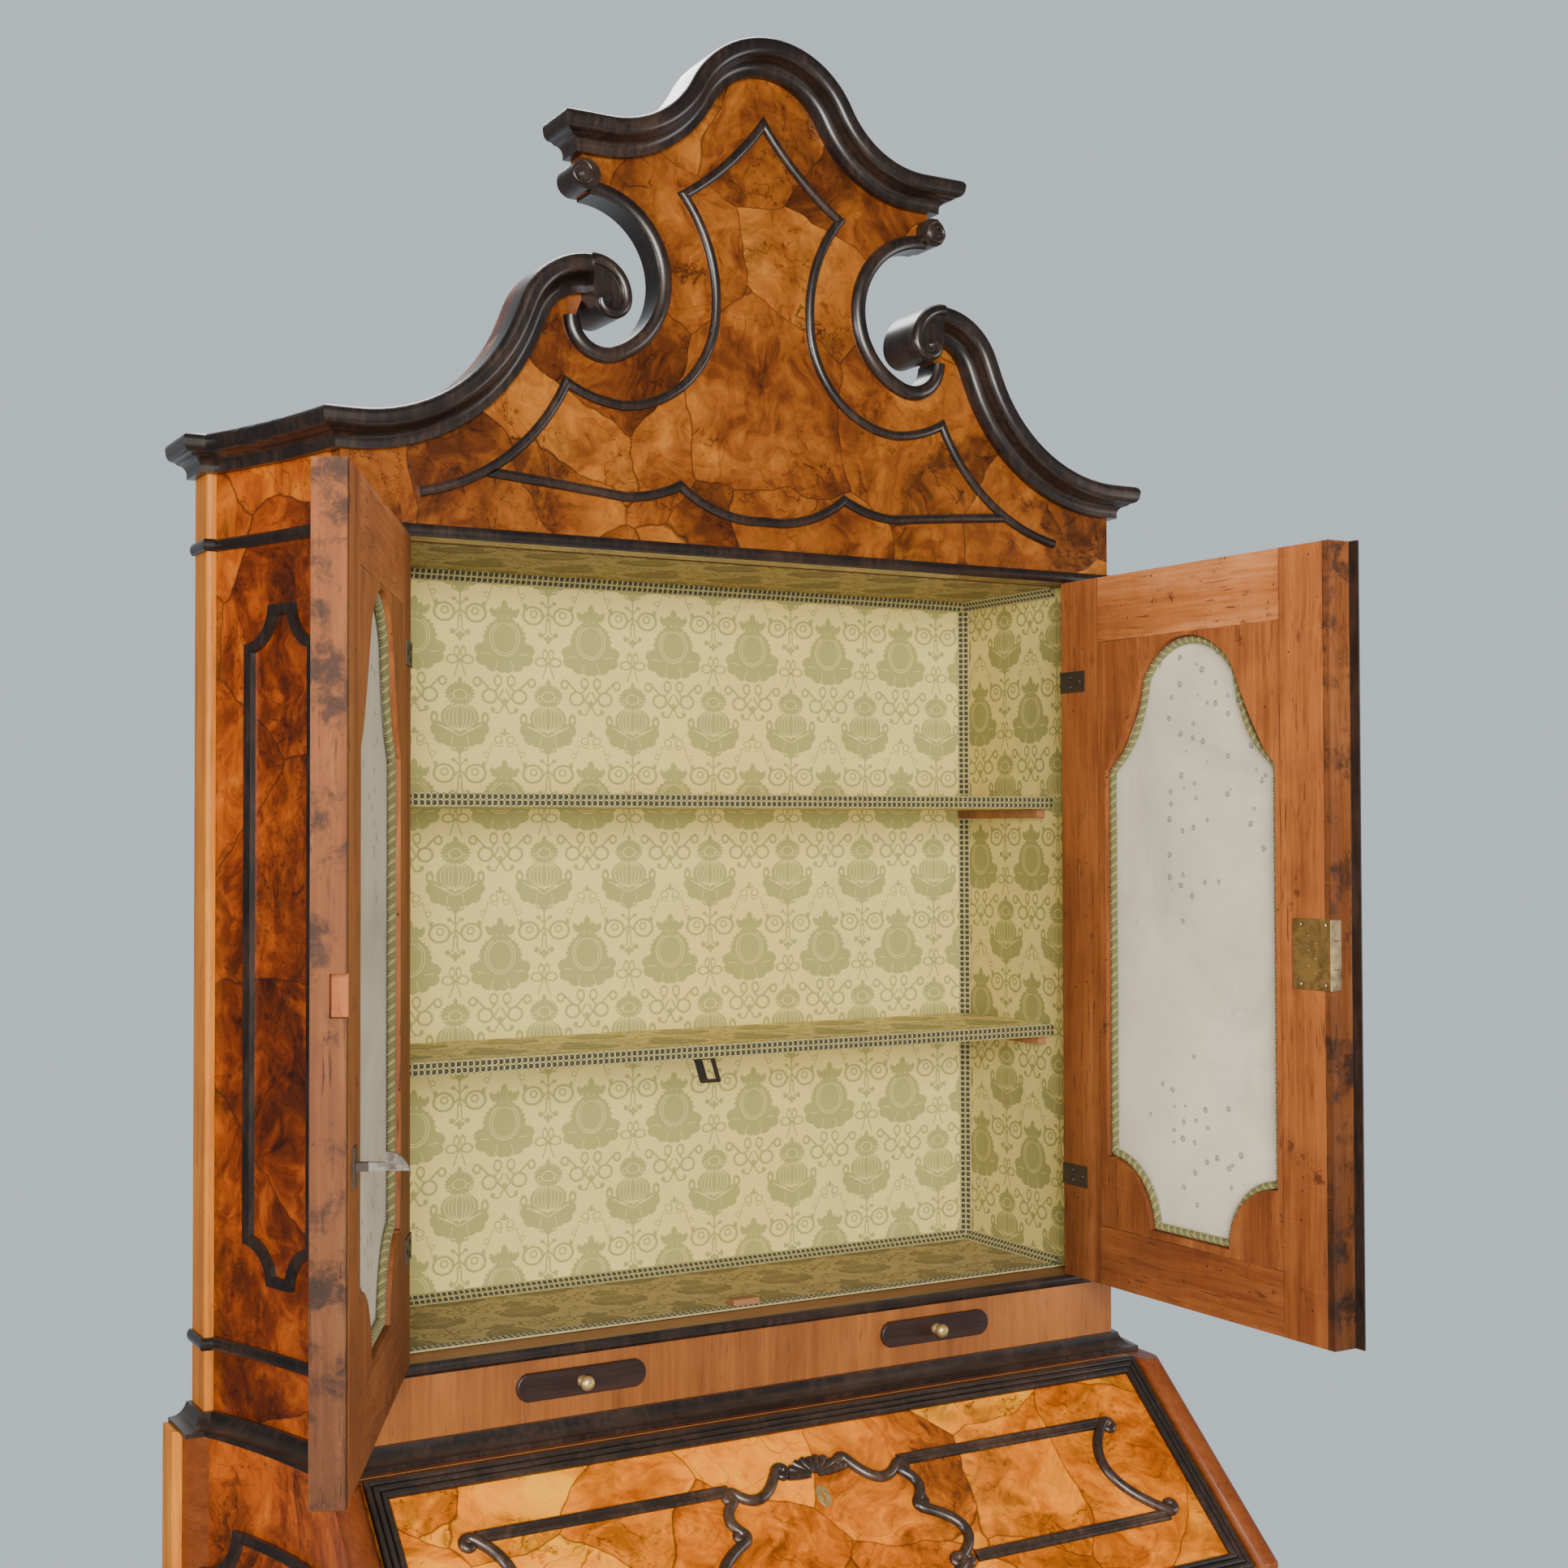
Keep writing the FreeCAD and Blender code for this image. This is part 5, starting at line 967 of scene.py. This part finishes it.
def grid(name, points, marks, columns, flipped=False):
    """A sheet through rows of points, with the marks of the points as its map."""
    width = columns + 1
    near, far = (width, 1) if flipped else (1, width)
    quads = []
    for row in range(len(points) // width - 1):
        for column in range(columns):
            first = row * width + column
            quads.append((first, first + near, first + width + 1, first + far))
    mesh = bpy.data.meshes.new(name)
    mesh.from_pydata(points, [], quads)
    layer = mesh.uv_layers.new(name="cloth")
    for loop in mesh.loops:
        layer.data[loop.index].uv = marks[loop.vertex_index]
    return linked(mesh, name)


def cloth(name, corner, across, down, wide, tall, start, carrier, material):
    """A stretched sheet from a corner along two directions, with a map in metres and faint ripples."""
    normal = across.cross(down).normalized()
    points = []
    marks = []
    for row in range(cloth_faces + 1):
        for column in range(cloth_faces + 1):
            s = column / cloth_faces
            t = row / cloth_faces
            away = math.prod(math.sin(s * m + t * n) for m, n in ripple_waves)
            edge = min(s, 1 - s, t, 1 - t, cloth_hem) / cloth_hem
            flat = corner + across * (s * wide) + down * (t * tall)
            points.append(flat + normal * (away * cloth_ripple * MM * edge))
            marks.append((start[0] + s * wide, start[1] - t * tall))
    made = grid(name, points, marks, cloth_faces)
    made.data.shade_smooth()
    settle(made, "case", material)
    return made


half = inside_half * MM
back = inside_back * MM
front = inside_front * MM
floor = inside_floor * MM
ceiling = inside_ceiling * MM
deep = back - front
tall = ceiling - floor
x_way = Vector((1, 0, 0))
y_way = Vector((0, 1, 0))
z_way = Vector((0, 0, 1))
ways = {
    "left": (Vector((-half, front, ceiling)), y_way, -z_way, deep, tall, (0.03, 0.0)),
    "right": (Vector((half, back, ceiling)), -y_way, -z_way, deep, tall, (0.021, 0.031)),
    "floor": (Vector((-half, back, floor)), x_way, -y_way, 2 * half, deep, (-half, back)),
    "ceiling": (Vector((-half, front, ceiling)), x_way, y_way, 2 * half, deep, (-half, 0.0)),
}
edges = (floor, shelf_tops[0] * MM, shelf_tops[1] * MM, ceiling)
for level, low in enumerate(edges[:-1]):
    upper = edges[level + 1]
    flower_x, flower_z = back_flowers[level]
    mark = (-half - flower_x * MM, upper - flower_z * MM)
    ways[f"back_{level}"] = (Vector((-half, back, upper)), x_way, -z_way, 2 * half, upper - low, mark)
# Walls, floor and ceiling take darker copies of the silk, which are painted shade
backing = {
    "left": ("cabinet_side_left", shaded_wall_silk),
    "right": ("cabinet_side_right", shaded_wall_silk),
    "floor": ("cabinet_bottom", worn_and_shaded_silk),
    "ceiling": ("cabinet_top", worn_and_shaded_silk),
}
for name, laid in ways.items():
    lined = cloth("lining_" + name, *laid, *backing.get(name, ("cabinet_back", silk)))
    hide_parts("cabinet_lining")


def shelf_cover(name, top):
    """Cloth folded round a shelf from the back of its top to the back of its underside."""
    gap = cover_gap
    path = [(shelf_back, top + gap), (shelf_front - gap, top + gap)]
    path += [(shelf_front - gap, top - shelf_thick - gap), (shelf_back, top - shelf_thick - gap)]
    rows = []
    run = 0.0
    for (y1, z1), (y2, z2) in zip(path, path[1:]):
        steps = max(2, round(math.dist((y1, z1), (y2, z2)) / cover_row))
        for i in range(steps):
            rows.append((y1 + (y2 - y1) * i / steps, z1 + (z2 - z1) * i / steps))
    rows.append(path[-1])
    points = []
    marks = []
    before = rows[0]
    for y, z in rows:
        run += math.dist(before, (y, z))
        before = (y, z)
        for i in range(cover_columns + 1):
            x = -shelf_half + 2 * shelf_half * i / cover_columns
            points.append(Vector((x, y, z)) * MM)
            marks.append((x * MM, -run * MM))
    made = grid(name, points, marks, cover_columns, flipped=True)
    settle(made, "case", silk)
    return made


shelf_cover("shelf_cover_lower", shelf_tops[0])
shelf_cover("shelf_cover_upper", shelf_tops[1])


def arc_points(middle, radius, start, end, count):
    """Points along an arc given by angles in degrees."""
    spots = []
    for i in range(count + 1):
        angle = math.radians(start + (end - start) * i / count)
        spots.append((middle[0] + radius * math.cos(angle), middle[1] + radius * math.sin(angle)))
    return spots


def drawn_bend(a, pull, c, count):
    """Points along a smooth bend from a to c that is drawn towards a third point."""
    spots = []
    for i in range(count + 1):
        t = i / count
        weights = ((1 - t) ** 2, 2 * t * (1 - t), t * t)
        spots.append(tuple(weights[0] * a[k] + weights[1] * pull[k] + weights[2] * c[k] for k in (0, 1)))
    return spots


def window_half_outline(inset):
    """The right half of a window from the middle of the sill up to the top of the arch."""
    side_x = window_half - inset
    lobe = window_lobe + inset
    lean = math.degrees(math.asin(inset / lobe))
    corner = (window_half, window_sill)
    outline = [(0.0, window_sill + inset)]
    outline += arc_points(corner, lobe, 180.0 - lean, 90.0 + lean, 16)
    outline += [(side_x, window_side_top - inset * 0.4)]
    shoulder = (side_x - window_notch, window_side_top + window_notch - inset * 0.8)
    spring = (window_spring[0] - inset * 0.6, window_spring[1] - inset)
    bend = (spring[0] + (shoulder[0] - spring[0]) * 0.25, shoulder[1] + (spring[1] - shoulder[1]) * 0.3)
    outline += drawn_bend(shoulder, bend, spring, 12)
    rise = window_arch_top - inset - spring[1]
    radius = (spring[0] ** 2 + rise ** 2) / (2 * rise)
    end = math.degrees(math.asin(spring[0] / radius))
    top = (0.0, window_arch_top - inset - radius)
    outline += arc_points(top, radius, 90.0 - end, 90.0, 10)[1:]
    return outline


def closed_window(inset):
    right = window_half_outline(inset)
    left = [(-x, z) for x, z in reversed(right[1:-1])]
    return right + left


def curve_of(name, lines, cyclic):
    """A poly curve with one spline for each line of points."""
    data = bpy.data.curves.new(name, "CURVE")
    data.dimensions = "3D"
    for line in lines:
        spline = data.splines.new("POLY")
        spline.points.add(len(line) - 1)
        for point, spot in zip(spline.points, line):
            point.co = (*spot, 1.0)
        spline.use_cyclic_u = cyclic
    return data


class Growth:
    """A tree of geometry nodes with named inputs and a material."""

    def __init__(self, name, inputs):
        self.tree = bpy.data.node_groups.new(name, "GeometryNodeTree")
        face = self.tree.interface
        face.new_socket("Geometry", in_out="INPUT", socket_type="NodeSocketGeometry")
        self.names = {}
        for key, kind in (*inputs, ("Material", "NodeSocketMaterial")):
            self.names[key] = face.new_socket(key, in_out="INPUT", socket_type=kind).identifier
        face.new_socket("Geometry", in_out="OUTPUT", socket_type="NodeSocketGeometry")
        self.start = self.tree.nodes.new("NodeGroupInput")
        self.end = self.tree.nodes.new("NodeGroupOutput")

    def node(self, kind, settings=None, inputs=None):
        made = self.tree.nodes.new(kind)
        for key, value in (settings or {}).items():
            setattr(made, key, value)
        for key, value in (inputs or {}).items():
            if isinstance(value, bpy.types.NodeSocket):
                self.tree.links.new(value, made.inputs[key])
            else:
                made.inputs[key].default_value = value
        return made

    def wire(self, kind, settings=None, inputs=None):
        return self.node(kind, settings, inputs).outputs[0]

    def math(self, operation, *values):
        return self.wire("ShaderNodeMath", {"operation": operation}, dict(enumerate(values)))

    def dress(self, geometry):
        """Ends the tree with plain pieces in its material."""
        real = self.wire("GeometryNodeRealizeInstances", {}, {"Geometry": geometry})
        inputs = {"Geometry": real, "Material": self.start.outputs["Material"]}
        dressed = self.wire("GeometryNodeSetMaterial", {}, inputs)
        self.tree.links.new(dressed, self.end.inputs[0])

    def grow(self, data, name, values):
        """The plain mesh that the tree makes of a curve or mesh."""
        carrier = linked(data, name + "_path")
        modifier = carrier.modifiers.new("growth", "NODES")
        modifier.node_group = self.tree
        for key, value in values.items():
            modifier[self.names[key]] = value
        bpy.context.view_layer.update()
        seen = carrier.evaluated_get(bpy.context.evaluated_depsgraph_get())
        mesh = bpy.data.meshes.new_from_object(seen)
        carrier.modifiers.clear()
        bpy.data.objects.remove(carrier)
        return linked(mesh, name)


def cord_tree():
    """Sweeps a lobed section along a path and twists it like laid cord."""
    inputs = (("Turns", "NodeSocketFloat"), ("Points", "NodeSocketInt"), ("Radius", "NodeSocketFloat"))
    t = Growth("laid_cord", inputs)
    start = t.start.outputs
    even = t.wire("GeometryNodeResampleCurve", {}, {"Curve": start["Geometry"], "Count": start["Points"]})
    share = t.math("DIVIDE", t.wire("GeometryNodeInputIndex"), start["Points"])
    angle = t.math("MULTIPLY", t.math("MULTIPLY", share, start["Turns"]), 2 * math.pi)
    tilted = t.wire("GeometryNodeSetCurveTilt", {}, {"Curve": even, "Tilt": angle})
    section = {"Resolution": lobe_points * cord_lobes, "Radius": start["Radius"]}
    circle = t.wire("GeometryNodeCurvePrimitiveCircle", {}, section)
    spot = t.wire("GeometryNodeInputIndex")
    bulge = t.math("ABSOLUTE", t.math("SINE", t.math("MULTIPLY", spot, math.pi / lobe_points)))
    size = t.math("MULTIPLY_ADD", bulge, 1.0 - cord_groove, cord_groove)
    place = t.wire("GeometryNodeInputPosition")
    moved = t.wire("ShaderNodeVectorMath", {"operation": "SCALE"}, {0: place, "Scale": size})
    lobed = t.wire("GeometryNodeSetPosition", {}, {"Geometry": circle, "Position": moved})
    last_lobe = t.math("GREATER_THAN", spot, lobe_points * (cord_lobes - 1) - 0.5)
    marked = t.wire(
        "GeometryNodeStoreNamedAttribute",
        {"data_type": "FLOAT", "domain": "POINT"},
        {"Geometry": lobed, "Name": "strand", "Value": last_lobe},
    )
    t.dress(t.wire("GeometryNodeCurveToMesh", {}, {"Curve": tilted, "Profile Curve": marked}))
    return t


cord_growth = cord_tree()
for side in ("left", "right"):
    outline = closed_window(cord_inset)
    line = [door_spot(side, window_middle + x, cord_depth, z) for x, z in outline]
    length = sum((b - a).length for a, b in zip(line, line[1:] + line[:1])) / MM
    turns = round(length / cord_pitch)
    values = {"Turns": float(turns), "Points": turns * cord_points}
    values.update({"Radius": cord_radius * MM, "Material": cord_silk})
    path = curve_of(side + "_cord_line", [line], True)
    laid = cord_growth.grow(path, side + "_door_laid_cord", values)
    laid.data.shade_smooth()
    settle(laid, side + "_door", cord_silk)
    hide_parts(side + "_door_cord")


def rod_tree():
    """Sweeps a round section along every spline, as thick as each point asks for."""
    t = Growth("carved_rod", (("Sides", "NodeSocketInt"),))
    start = t.start.outputs
    section = {"Resolution": start["Sides"], "Radius": 1.0}
    circle = t.wire("GeometryNodeCurvePrimitiveCircle", {}, section)
    girth = t.wire("GeometryNodeInputNamedAttribute", {"data_type": "FLOAT"}, {"Name": "radius"})
    inputs = {"Curve": start["Geometry"], "Profile Curve": circle, "Scale": girth, "Fill Caps": True}
    t.dress(t.wire("GeometryNodeCurveToMesh", {}, inputs))
    return t


def bent(a, b, c, count):
    """Points along a smooth bend from a to c that passes b half way."""
    pull = [2 * b[k] - (a[k] + c[k]) / 2 for k in (0, 1)]
    return drawn_bend(a, pull, c, count)


def curl(path, side, radius):
    """Winds on from the end of a path into a small spiral to one side."""
    (x1, y1), (x2, y2) = path[-2:]
    heading = math.atan2(y2 - y1, x2 - x1)
    x, y = x2, y2
    spots = []
    for i in range(curl_steps):
        now = radius * (1 - curl_close * i / curl_steps)
        stride = now * math.radians(curl_turn)
        heading += side * math.radians(curl_turn)
        x += stride * math.cos(heading)
        y += stride * math.sin(heading)
        spots.append((x, y))
    return spots


def carved_strokes():
    """Every stroke of the fall's carving on one side: points across and down, each with a radius."""
    outer, low = ornament_outer, ornament_low
    bars = (((108, 80), (outer - 30, 80)), ((148, low), (outer - 6, low)))
    scrolls = (
        ((outer - 26, 80), (outer - 56, 140), (outer - 2, low - 4), 1, -1),
        ((44, 66), (74, 95), (103, 84), -1, 1),
        ((107, 94), (119, 112), (110, 130), 1, -1),
        ((110, 140), (150, 172), (132, low - 4), 1, -1),
        ((128, low + 6), (78, low + 28), (22, low + 25), -1, 1),
    )
    strokes = []
    for (u1, v1), (u2, v2) in bars:
        for aside, thick in bar_rows:
            strokes.append([(u1, v1 + aside, thick), (u2, v2 + aside, thick)])
    for a, b, c, first, last in scrolls:
        body = bent(a, b, c, scroll_points)
        size = curl_sizes[math.dist(a, c) > long_scroll]
        head = curl(body[::-1], first, size)
        tail = curl(body, last, size)
        line = head[::-1] + body + tail
        for i, (u, v) in enumerate(line):
            into = min(i, len(line) - 1 - i)
            swell = math.sin(math.pi * i / (len(line) - 1))
            thick = scroll_tip + scroll_growth * min(1.0, into / curl_steps) + scroll_swell * swell
            line[i] = (u, v, thick)
        strokes.append(line)
    return strokes


def shell_strokes():
    """Ribs of the shell over the keyhole, thin at the foot and full at the rim."""
    strokes = []
    for i in range(shell_ribs):
        angle = math.pi * (i + 0.5) / shell_ribs
        reach = shell_reach * (0.8 + 0.2 * abs(math.cos(angle)))
        rib = []
        for k in range(7):
            t = 0.15 + 0.85 * k / 6
            thick = rib_foot + rib_growth * math.sin(math.pi * 0.62 * t)
            rib.append((reach * t * math.cos(angle), shell_v - reach * 0.8 * t * math.sin(angle), thick))
        strokes.append(rib)
    return strokes


def rods(name, lines, body, material):
    """Round rods along lines of points in metres, each with a radius in millimetres."""
    data = curve_of(name + "_lines", [[Vector(spot) for spot, _ in line] for line in lines], False)
    for spline, line in zip(data.splines, lines):
        for point, (_, radius) in zip(spline.points, line):
            point.radius = radius * MM
    made = rod_growth.grow(data, name, {"Sides": rod_sides, "Material": material})
    made.data.shade_smooth()
    made.data.set_sharp_from_angle(angle=math.radians(rod_sharp))
    return settle(made, body, material)


rod_growth = rod_tree()
carving = []
for stroke in carved_strokes():
    for side in (-1, 1):
        carving.append([(fall_spot(side * u, v, carving_lift), thick) for u, v, thick in stroke])
for stroke in shell_strokes():
    carving.append([(fall_spot(u, v, shell_lift), thick) for u, v, thick in stroke])
carved = rods("fall_carving", carving, "fall", carved_ebony)
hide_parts("fall_ornament")

spirals = []
for side in (-1, 1):
    winding = []
    for i in range(roll_steps + 1):
        turn = math.radians(90.0 + roll_turn * i)
        reach = roll_reach[0] + (roll_reach[1] - roll_reach[0]) * i / roll_steps
        thick = roll_rod[0] + (roll_rod[1] - roll_rod[0]) * i / roll_steps
        x = side * (roll_x + reach * math.cos(turn))
        z = roll_z + reach * math.sin(turn)
        winding.append((Vector((x, roll_front, z)) * MM, thick))
    spirals.append(winding)
rods("roll_spirals", spirals, "case", ebony)


def screw_head():
    """A low round head in two steps."""
    work = bmesh.new()
    for low, wide, high in ((0.0, 1.0, 0.25), (0.25, 0.7, 0.2)):
        place = Matrix.Translation((0, 0, (low + high / 2) * screw_radius * MM))
        bmesh.ops.create_cone(
            work, cap_ends=True, segments=14, radius1=wide * screw_radius * MM,
            radius2=wide * 0.8 * screw_radius * MM, depth=high * screw_radius * MM, matrix=place
        )
    mesh = bpy.data.meshes.new("screw_head")
    work.to_mesh(mesh)
    work.free()
    return linked(mesh, "screw_head")


def scatter_tree():
    """Sets a shape on every point of a mesh, facing one way."""
    inputs = (("Facing", "NodeSocketVector"), ("Shape", "NodeSocketObject"), ("Size", "NodeSocketFloat"))
    t = Growth("set_heads", inputs)
    start = t.start.outputs
    spots = t.wire("GeometryNodeMeshToPoints", {}, {"Mesh": start["Geometry"]})
    facing = t.wire("FunctionNodeAlignRotationToVector", {"axis": "Z"}, {"Vector": start["Facing"]})
    shape = t.node("GeometryNodeObjectInfo", {}, {"Object": start["Shape"]}).outputs["Geometry"]
    laid = {"Points": spots, "Instance": shape, "Rotation": facing, "Scale": start["Size"]}
    t.dress(t.wire("GeometryNodeInstanceOnPoints", {}, laid))
    return t


def heads(name, side, spots, size, material):
    """Screw or rivet heads on a door at points of the shut door."""
    mesh = bpy.data.meshes.new(name + "_spots")
    mesh.from_pydata([door_spot(side, *spot) for spot in spots], [], [])
    facing = tuple(door_heading(side))
    values = {"Facing": facing, "Shape": head, "Size": size, "Material": material}
    made = scatter_growth.grow(mesh, name, values)
    return settle(made, side + "_door", material)


head = screw_head()
scatter_growth = scatter_tree()
for side in ("left", "right"):
    spots = []
    for z in hinge_heights:
        spots += [(door_hinge_x - off, hinge_face, z + up) for off, up in hinge_screws]
    heads(side + "_hinge_screws", side, spots, 1.0, iron)
corners = [(x, lock_face, z) for x in lock_screws_x for z in lock_screws_z]
heads("lock_screws", "right", corners, lock_screw_size, brass)
rivets = []
for i in range(rivet_count):
    x = rivet_start[0] + rivet_step[0] * (i % 2)
    rivets.append((x, lock_face, rivet_start[1] + rivet_step[1] * i))
heads("lock_rivets", "right", rivets, rivet_size, brass)
head_mesh = head.data
bpy.data.objects.remove(head)
bpy.data.meshes.remove(head_mesh)


def braid_link():
    """One link of the braid: two dark knots side by side between pale threads."""
    work = bmesh.new()
    tone = work.verts.layers.float.new("strand")
    middle = braid_thick / 2 * MM
    for side in (-1, 1):
        place = Matrix.Translation((0, side * braid_wide * 0.235 * MM, middle))
        shape = Matrix.Diagonal((*[half * MM for half in knot_half], 1.0))
        bmesh.ops.create_uvsphere(work, u_segments=7, v_segments=4, radius=1.0, matrix=place @ shape)
    bars = [(0.0, 0.0, 0.5, 0.055), (0.5, 0.0, 0.13, 0.5)]
    bars += [(0.0, side * 0.46, 0.5, 0.05) for side in (-1, 1)]
    for along, across, long, wide in bars:
        place = Matrix.Translation((along * braid_pitch * MM, across * braid_wide * MM, middle))
        size = (long * 2.0 * braid_pitch * MM, wide * 2.0 * braid_wide * MM, braid_thick * MM, 1.0)
        box = bmesh.ops.create_cube(work, size=1.0, matrix=place @ Matrix.Diagonal(size))
        for vert in box["verts"]:
            vert[tone] = 1.0
    mesh = bpy.data.meshes.new("braid_link")
    work.to_mesh(mesh)
    work.free()
    return linked(mesh, "braid_link")


def braid_tree():
    """Sets a link at even steps along a path, its flat side on the cloth."""
    inputs = (("Links", "NodeSocketInt"), ("Facing", "NodeSocketVector"), ("Link", "NodeSocketObject"))
    t = Growth("braid", inputs)
    start = t.start.outputs
    counted = {"Curve": start["Geometry"], "Count": start["Links"]}
    spots = t.node("GeometryNodeCurveToPoints", {"mode": "COUNT"}, counted).outputs
    along = t.wire("FunctionNodeAlignRotationToVector", {"axis": "X"}, {"Vector": spots["Tangent"]})
    flat = t.wire(
        "FunctionNodeAlignRotationToVector",
        {"axis": "Z", "pivot_axis": "X"},
        {"Rotation": along, "Vector": start["Facing"]},
    )
    shape = t.node("GeometryNodeObjectInfo", {}, {"Object": start["Link"]}).outputs["Geometry"]
    laid = {"Points": spots[0], "Instance": shape, "Rotation": flat}
    t.dress(t.wire("GeometryNodeInstanceOnPoints", {}, laid))
    return t


def braid_runs():
    """Start, end and facing of every length of braid, in millimetres."""
    wall = inside_half - braid_from_corner
    rear = inside_back - braid_from_corner
    low = inside_floor + braid_from_corner
    high = inside_ceiling - braid_from_corner
    runs = []
    for top in shelf_tops:
        y = shelf_front - cover_gap - braid_lay
        z = top - shelf_thick / 2
        runs.append(((-shelf_half, y, z), (shelf_half, y, z), (0, -1, 0)))
    runs.append(((-wall, rear, high), (wall, rear, high), (0, -1, -0.4)))
    runs.append(((-wall, rear, low), (wall, rear, low), (0, -1, 1)))
    y = inside_front + braid_wide / 2
    z = inside_floor + braid_lay
    runs.append(((-wall, y, z), (wall, y, z), (0, 0, 1)))
    levels = [low, *shelf_tops, high]
    for side in (-1, 1):
        for z, facing in ((low, 1), (high, -1)):
            y = inside_front + braid_wall_start
            runs.append(((side * wall, y, z), (side * wall, rear, z), (-side, 0, facing)))
        for i in range(3):
            bottom = levels[i] + braid_end_gap
            top = levels[i + 1] - (braid_end_gap if i == 2 else shelf_thick + braid_under_shelf)
            runs.append(((side * wall, rear, bottom), (side * wall, rear, top), (-side, -1, 0)))
    return runs


def joined(pieces, name):
    """One object from several with the same material."""
    whole = pieces[0]
    whole.name = name
    with bpy.context.temp_override(active_object=whole, selected_editable_objects=pieces):
        bpy.ops.object.join()
    return whole


link = braid_link()
braid_growth = braid_tree()
lengths = []
for number, (start, end, facing) in enumerate(braid_runs()):
    line = [Vector(start) * MM, Vector(end) * MM]
    count = round(math.dist(start, end) / braid_pitch)
    values = {"Links": count, "Facing": tuple(map(float, facing)), "Link": link, "Material": braid_silk}
    path = curve_of(f"braid_line_{number}", [line], False)
    lengths.append(braid_growth.grow(path, f"braid_{number}", values))
link_mesh = link.data
bpy.data.objects.remove(link)
bpy.data.meshes.remove(link_mesh)
braid = joined(lengths, "lining_braid")
braid.data.shade_smooth()
braid.data.set_sharp_from_angle(angle=math.radians(braid_sharp))
settle(braid, "case", braid_silk)


def area_light(name, place, target, size, power, colour):
    data = bpy.data.lights.new(name, "AREA")
    data.shape = "DISK"
    data.size = size
    data.energy = power
    data.color = colour
    made = linked(data, name)
    made.location = place
    made.rotation_euler = (Vector(target) - Vector(place)).to_track_quat("-Z", "Y").to_euler()


for name, settings in lights.items():
    area_light(name, *settings)

world = bpy.data.worlds.new("studio")
sky = Graph(world)
toward = sky.dot(sky.wire("TexCoord", {}, {}, "Generated"), backdrop_way)
strength = sky.wire("MapRange", {}, {"Value": toward, **backdrop_fall})
glow = sky.wire("Background", {}, {"Color": backdrop_colour, "Strength": strength})
sky.node("OutputWorld", {}, {"Surface": glow})
bpy.context.scene.world = world

ground = bpy.data.meshes.new("ground")
work = bmesh.new()
bmesh.ops.create_circle(work, cap_ends=True, segments=96, radius=ground_radius)
work.to_mesh(ground)
work.free()
pale = Graph(bpy.data.materials.new("pale_floor"))
speckle = pale.noise(pale.place(), 6.0, 4.0)
pale_tone = pale.mix(speckle, (0.6, 0.6, 0.59), (0.68, 0.68, 0.67))
ground.materials.append(pale.finish(pale.principled(pale_tone, 0.6)))
ground_object = linked(ground, "ground")

yaw = math.radians(camera_yaw)
pitch = math.radians(camera_pitch)
roll = math.radians(camera_roll)
ahead = Vector((math.sin(yaw) * math.cos(pitch), math.cos(yaw) * math.cos(pitch), math.sin(pitch)))
right = Vector((math.cos(yaw), -math.sin(yaw), 0.0))
up = right.cross(ahead)
right_rolled = right * math.cos(roll) + up * math.sin(roll)
up_rolled = up * math.cos(roll) - right * math.sin(roll)
lens = bpy.data.cameras.new("photo_view")
lens.lens = camera_lens
lens.sensor_width = camera_sensor
lens.clip_start = 0.05
viewer = linked(lens, "photo_view")
turned = Matrix((right_rolled, up_rolled, -ahead)).transposed().to_4x4()
turned.translation = Vector(camera_place) * MM
viewer.matrix_world = turned
bpy.context.scene.camera = viewer


def plain(limits):
    return [[float(value) for value in spot] for spot in limits]
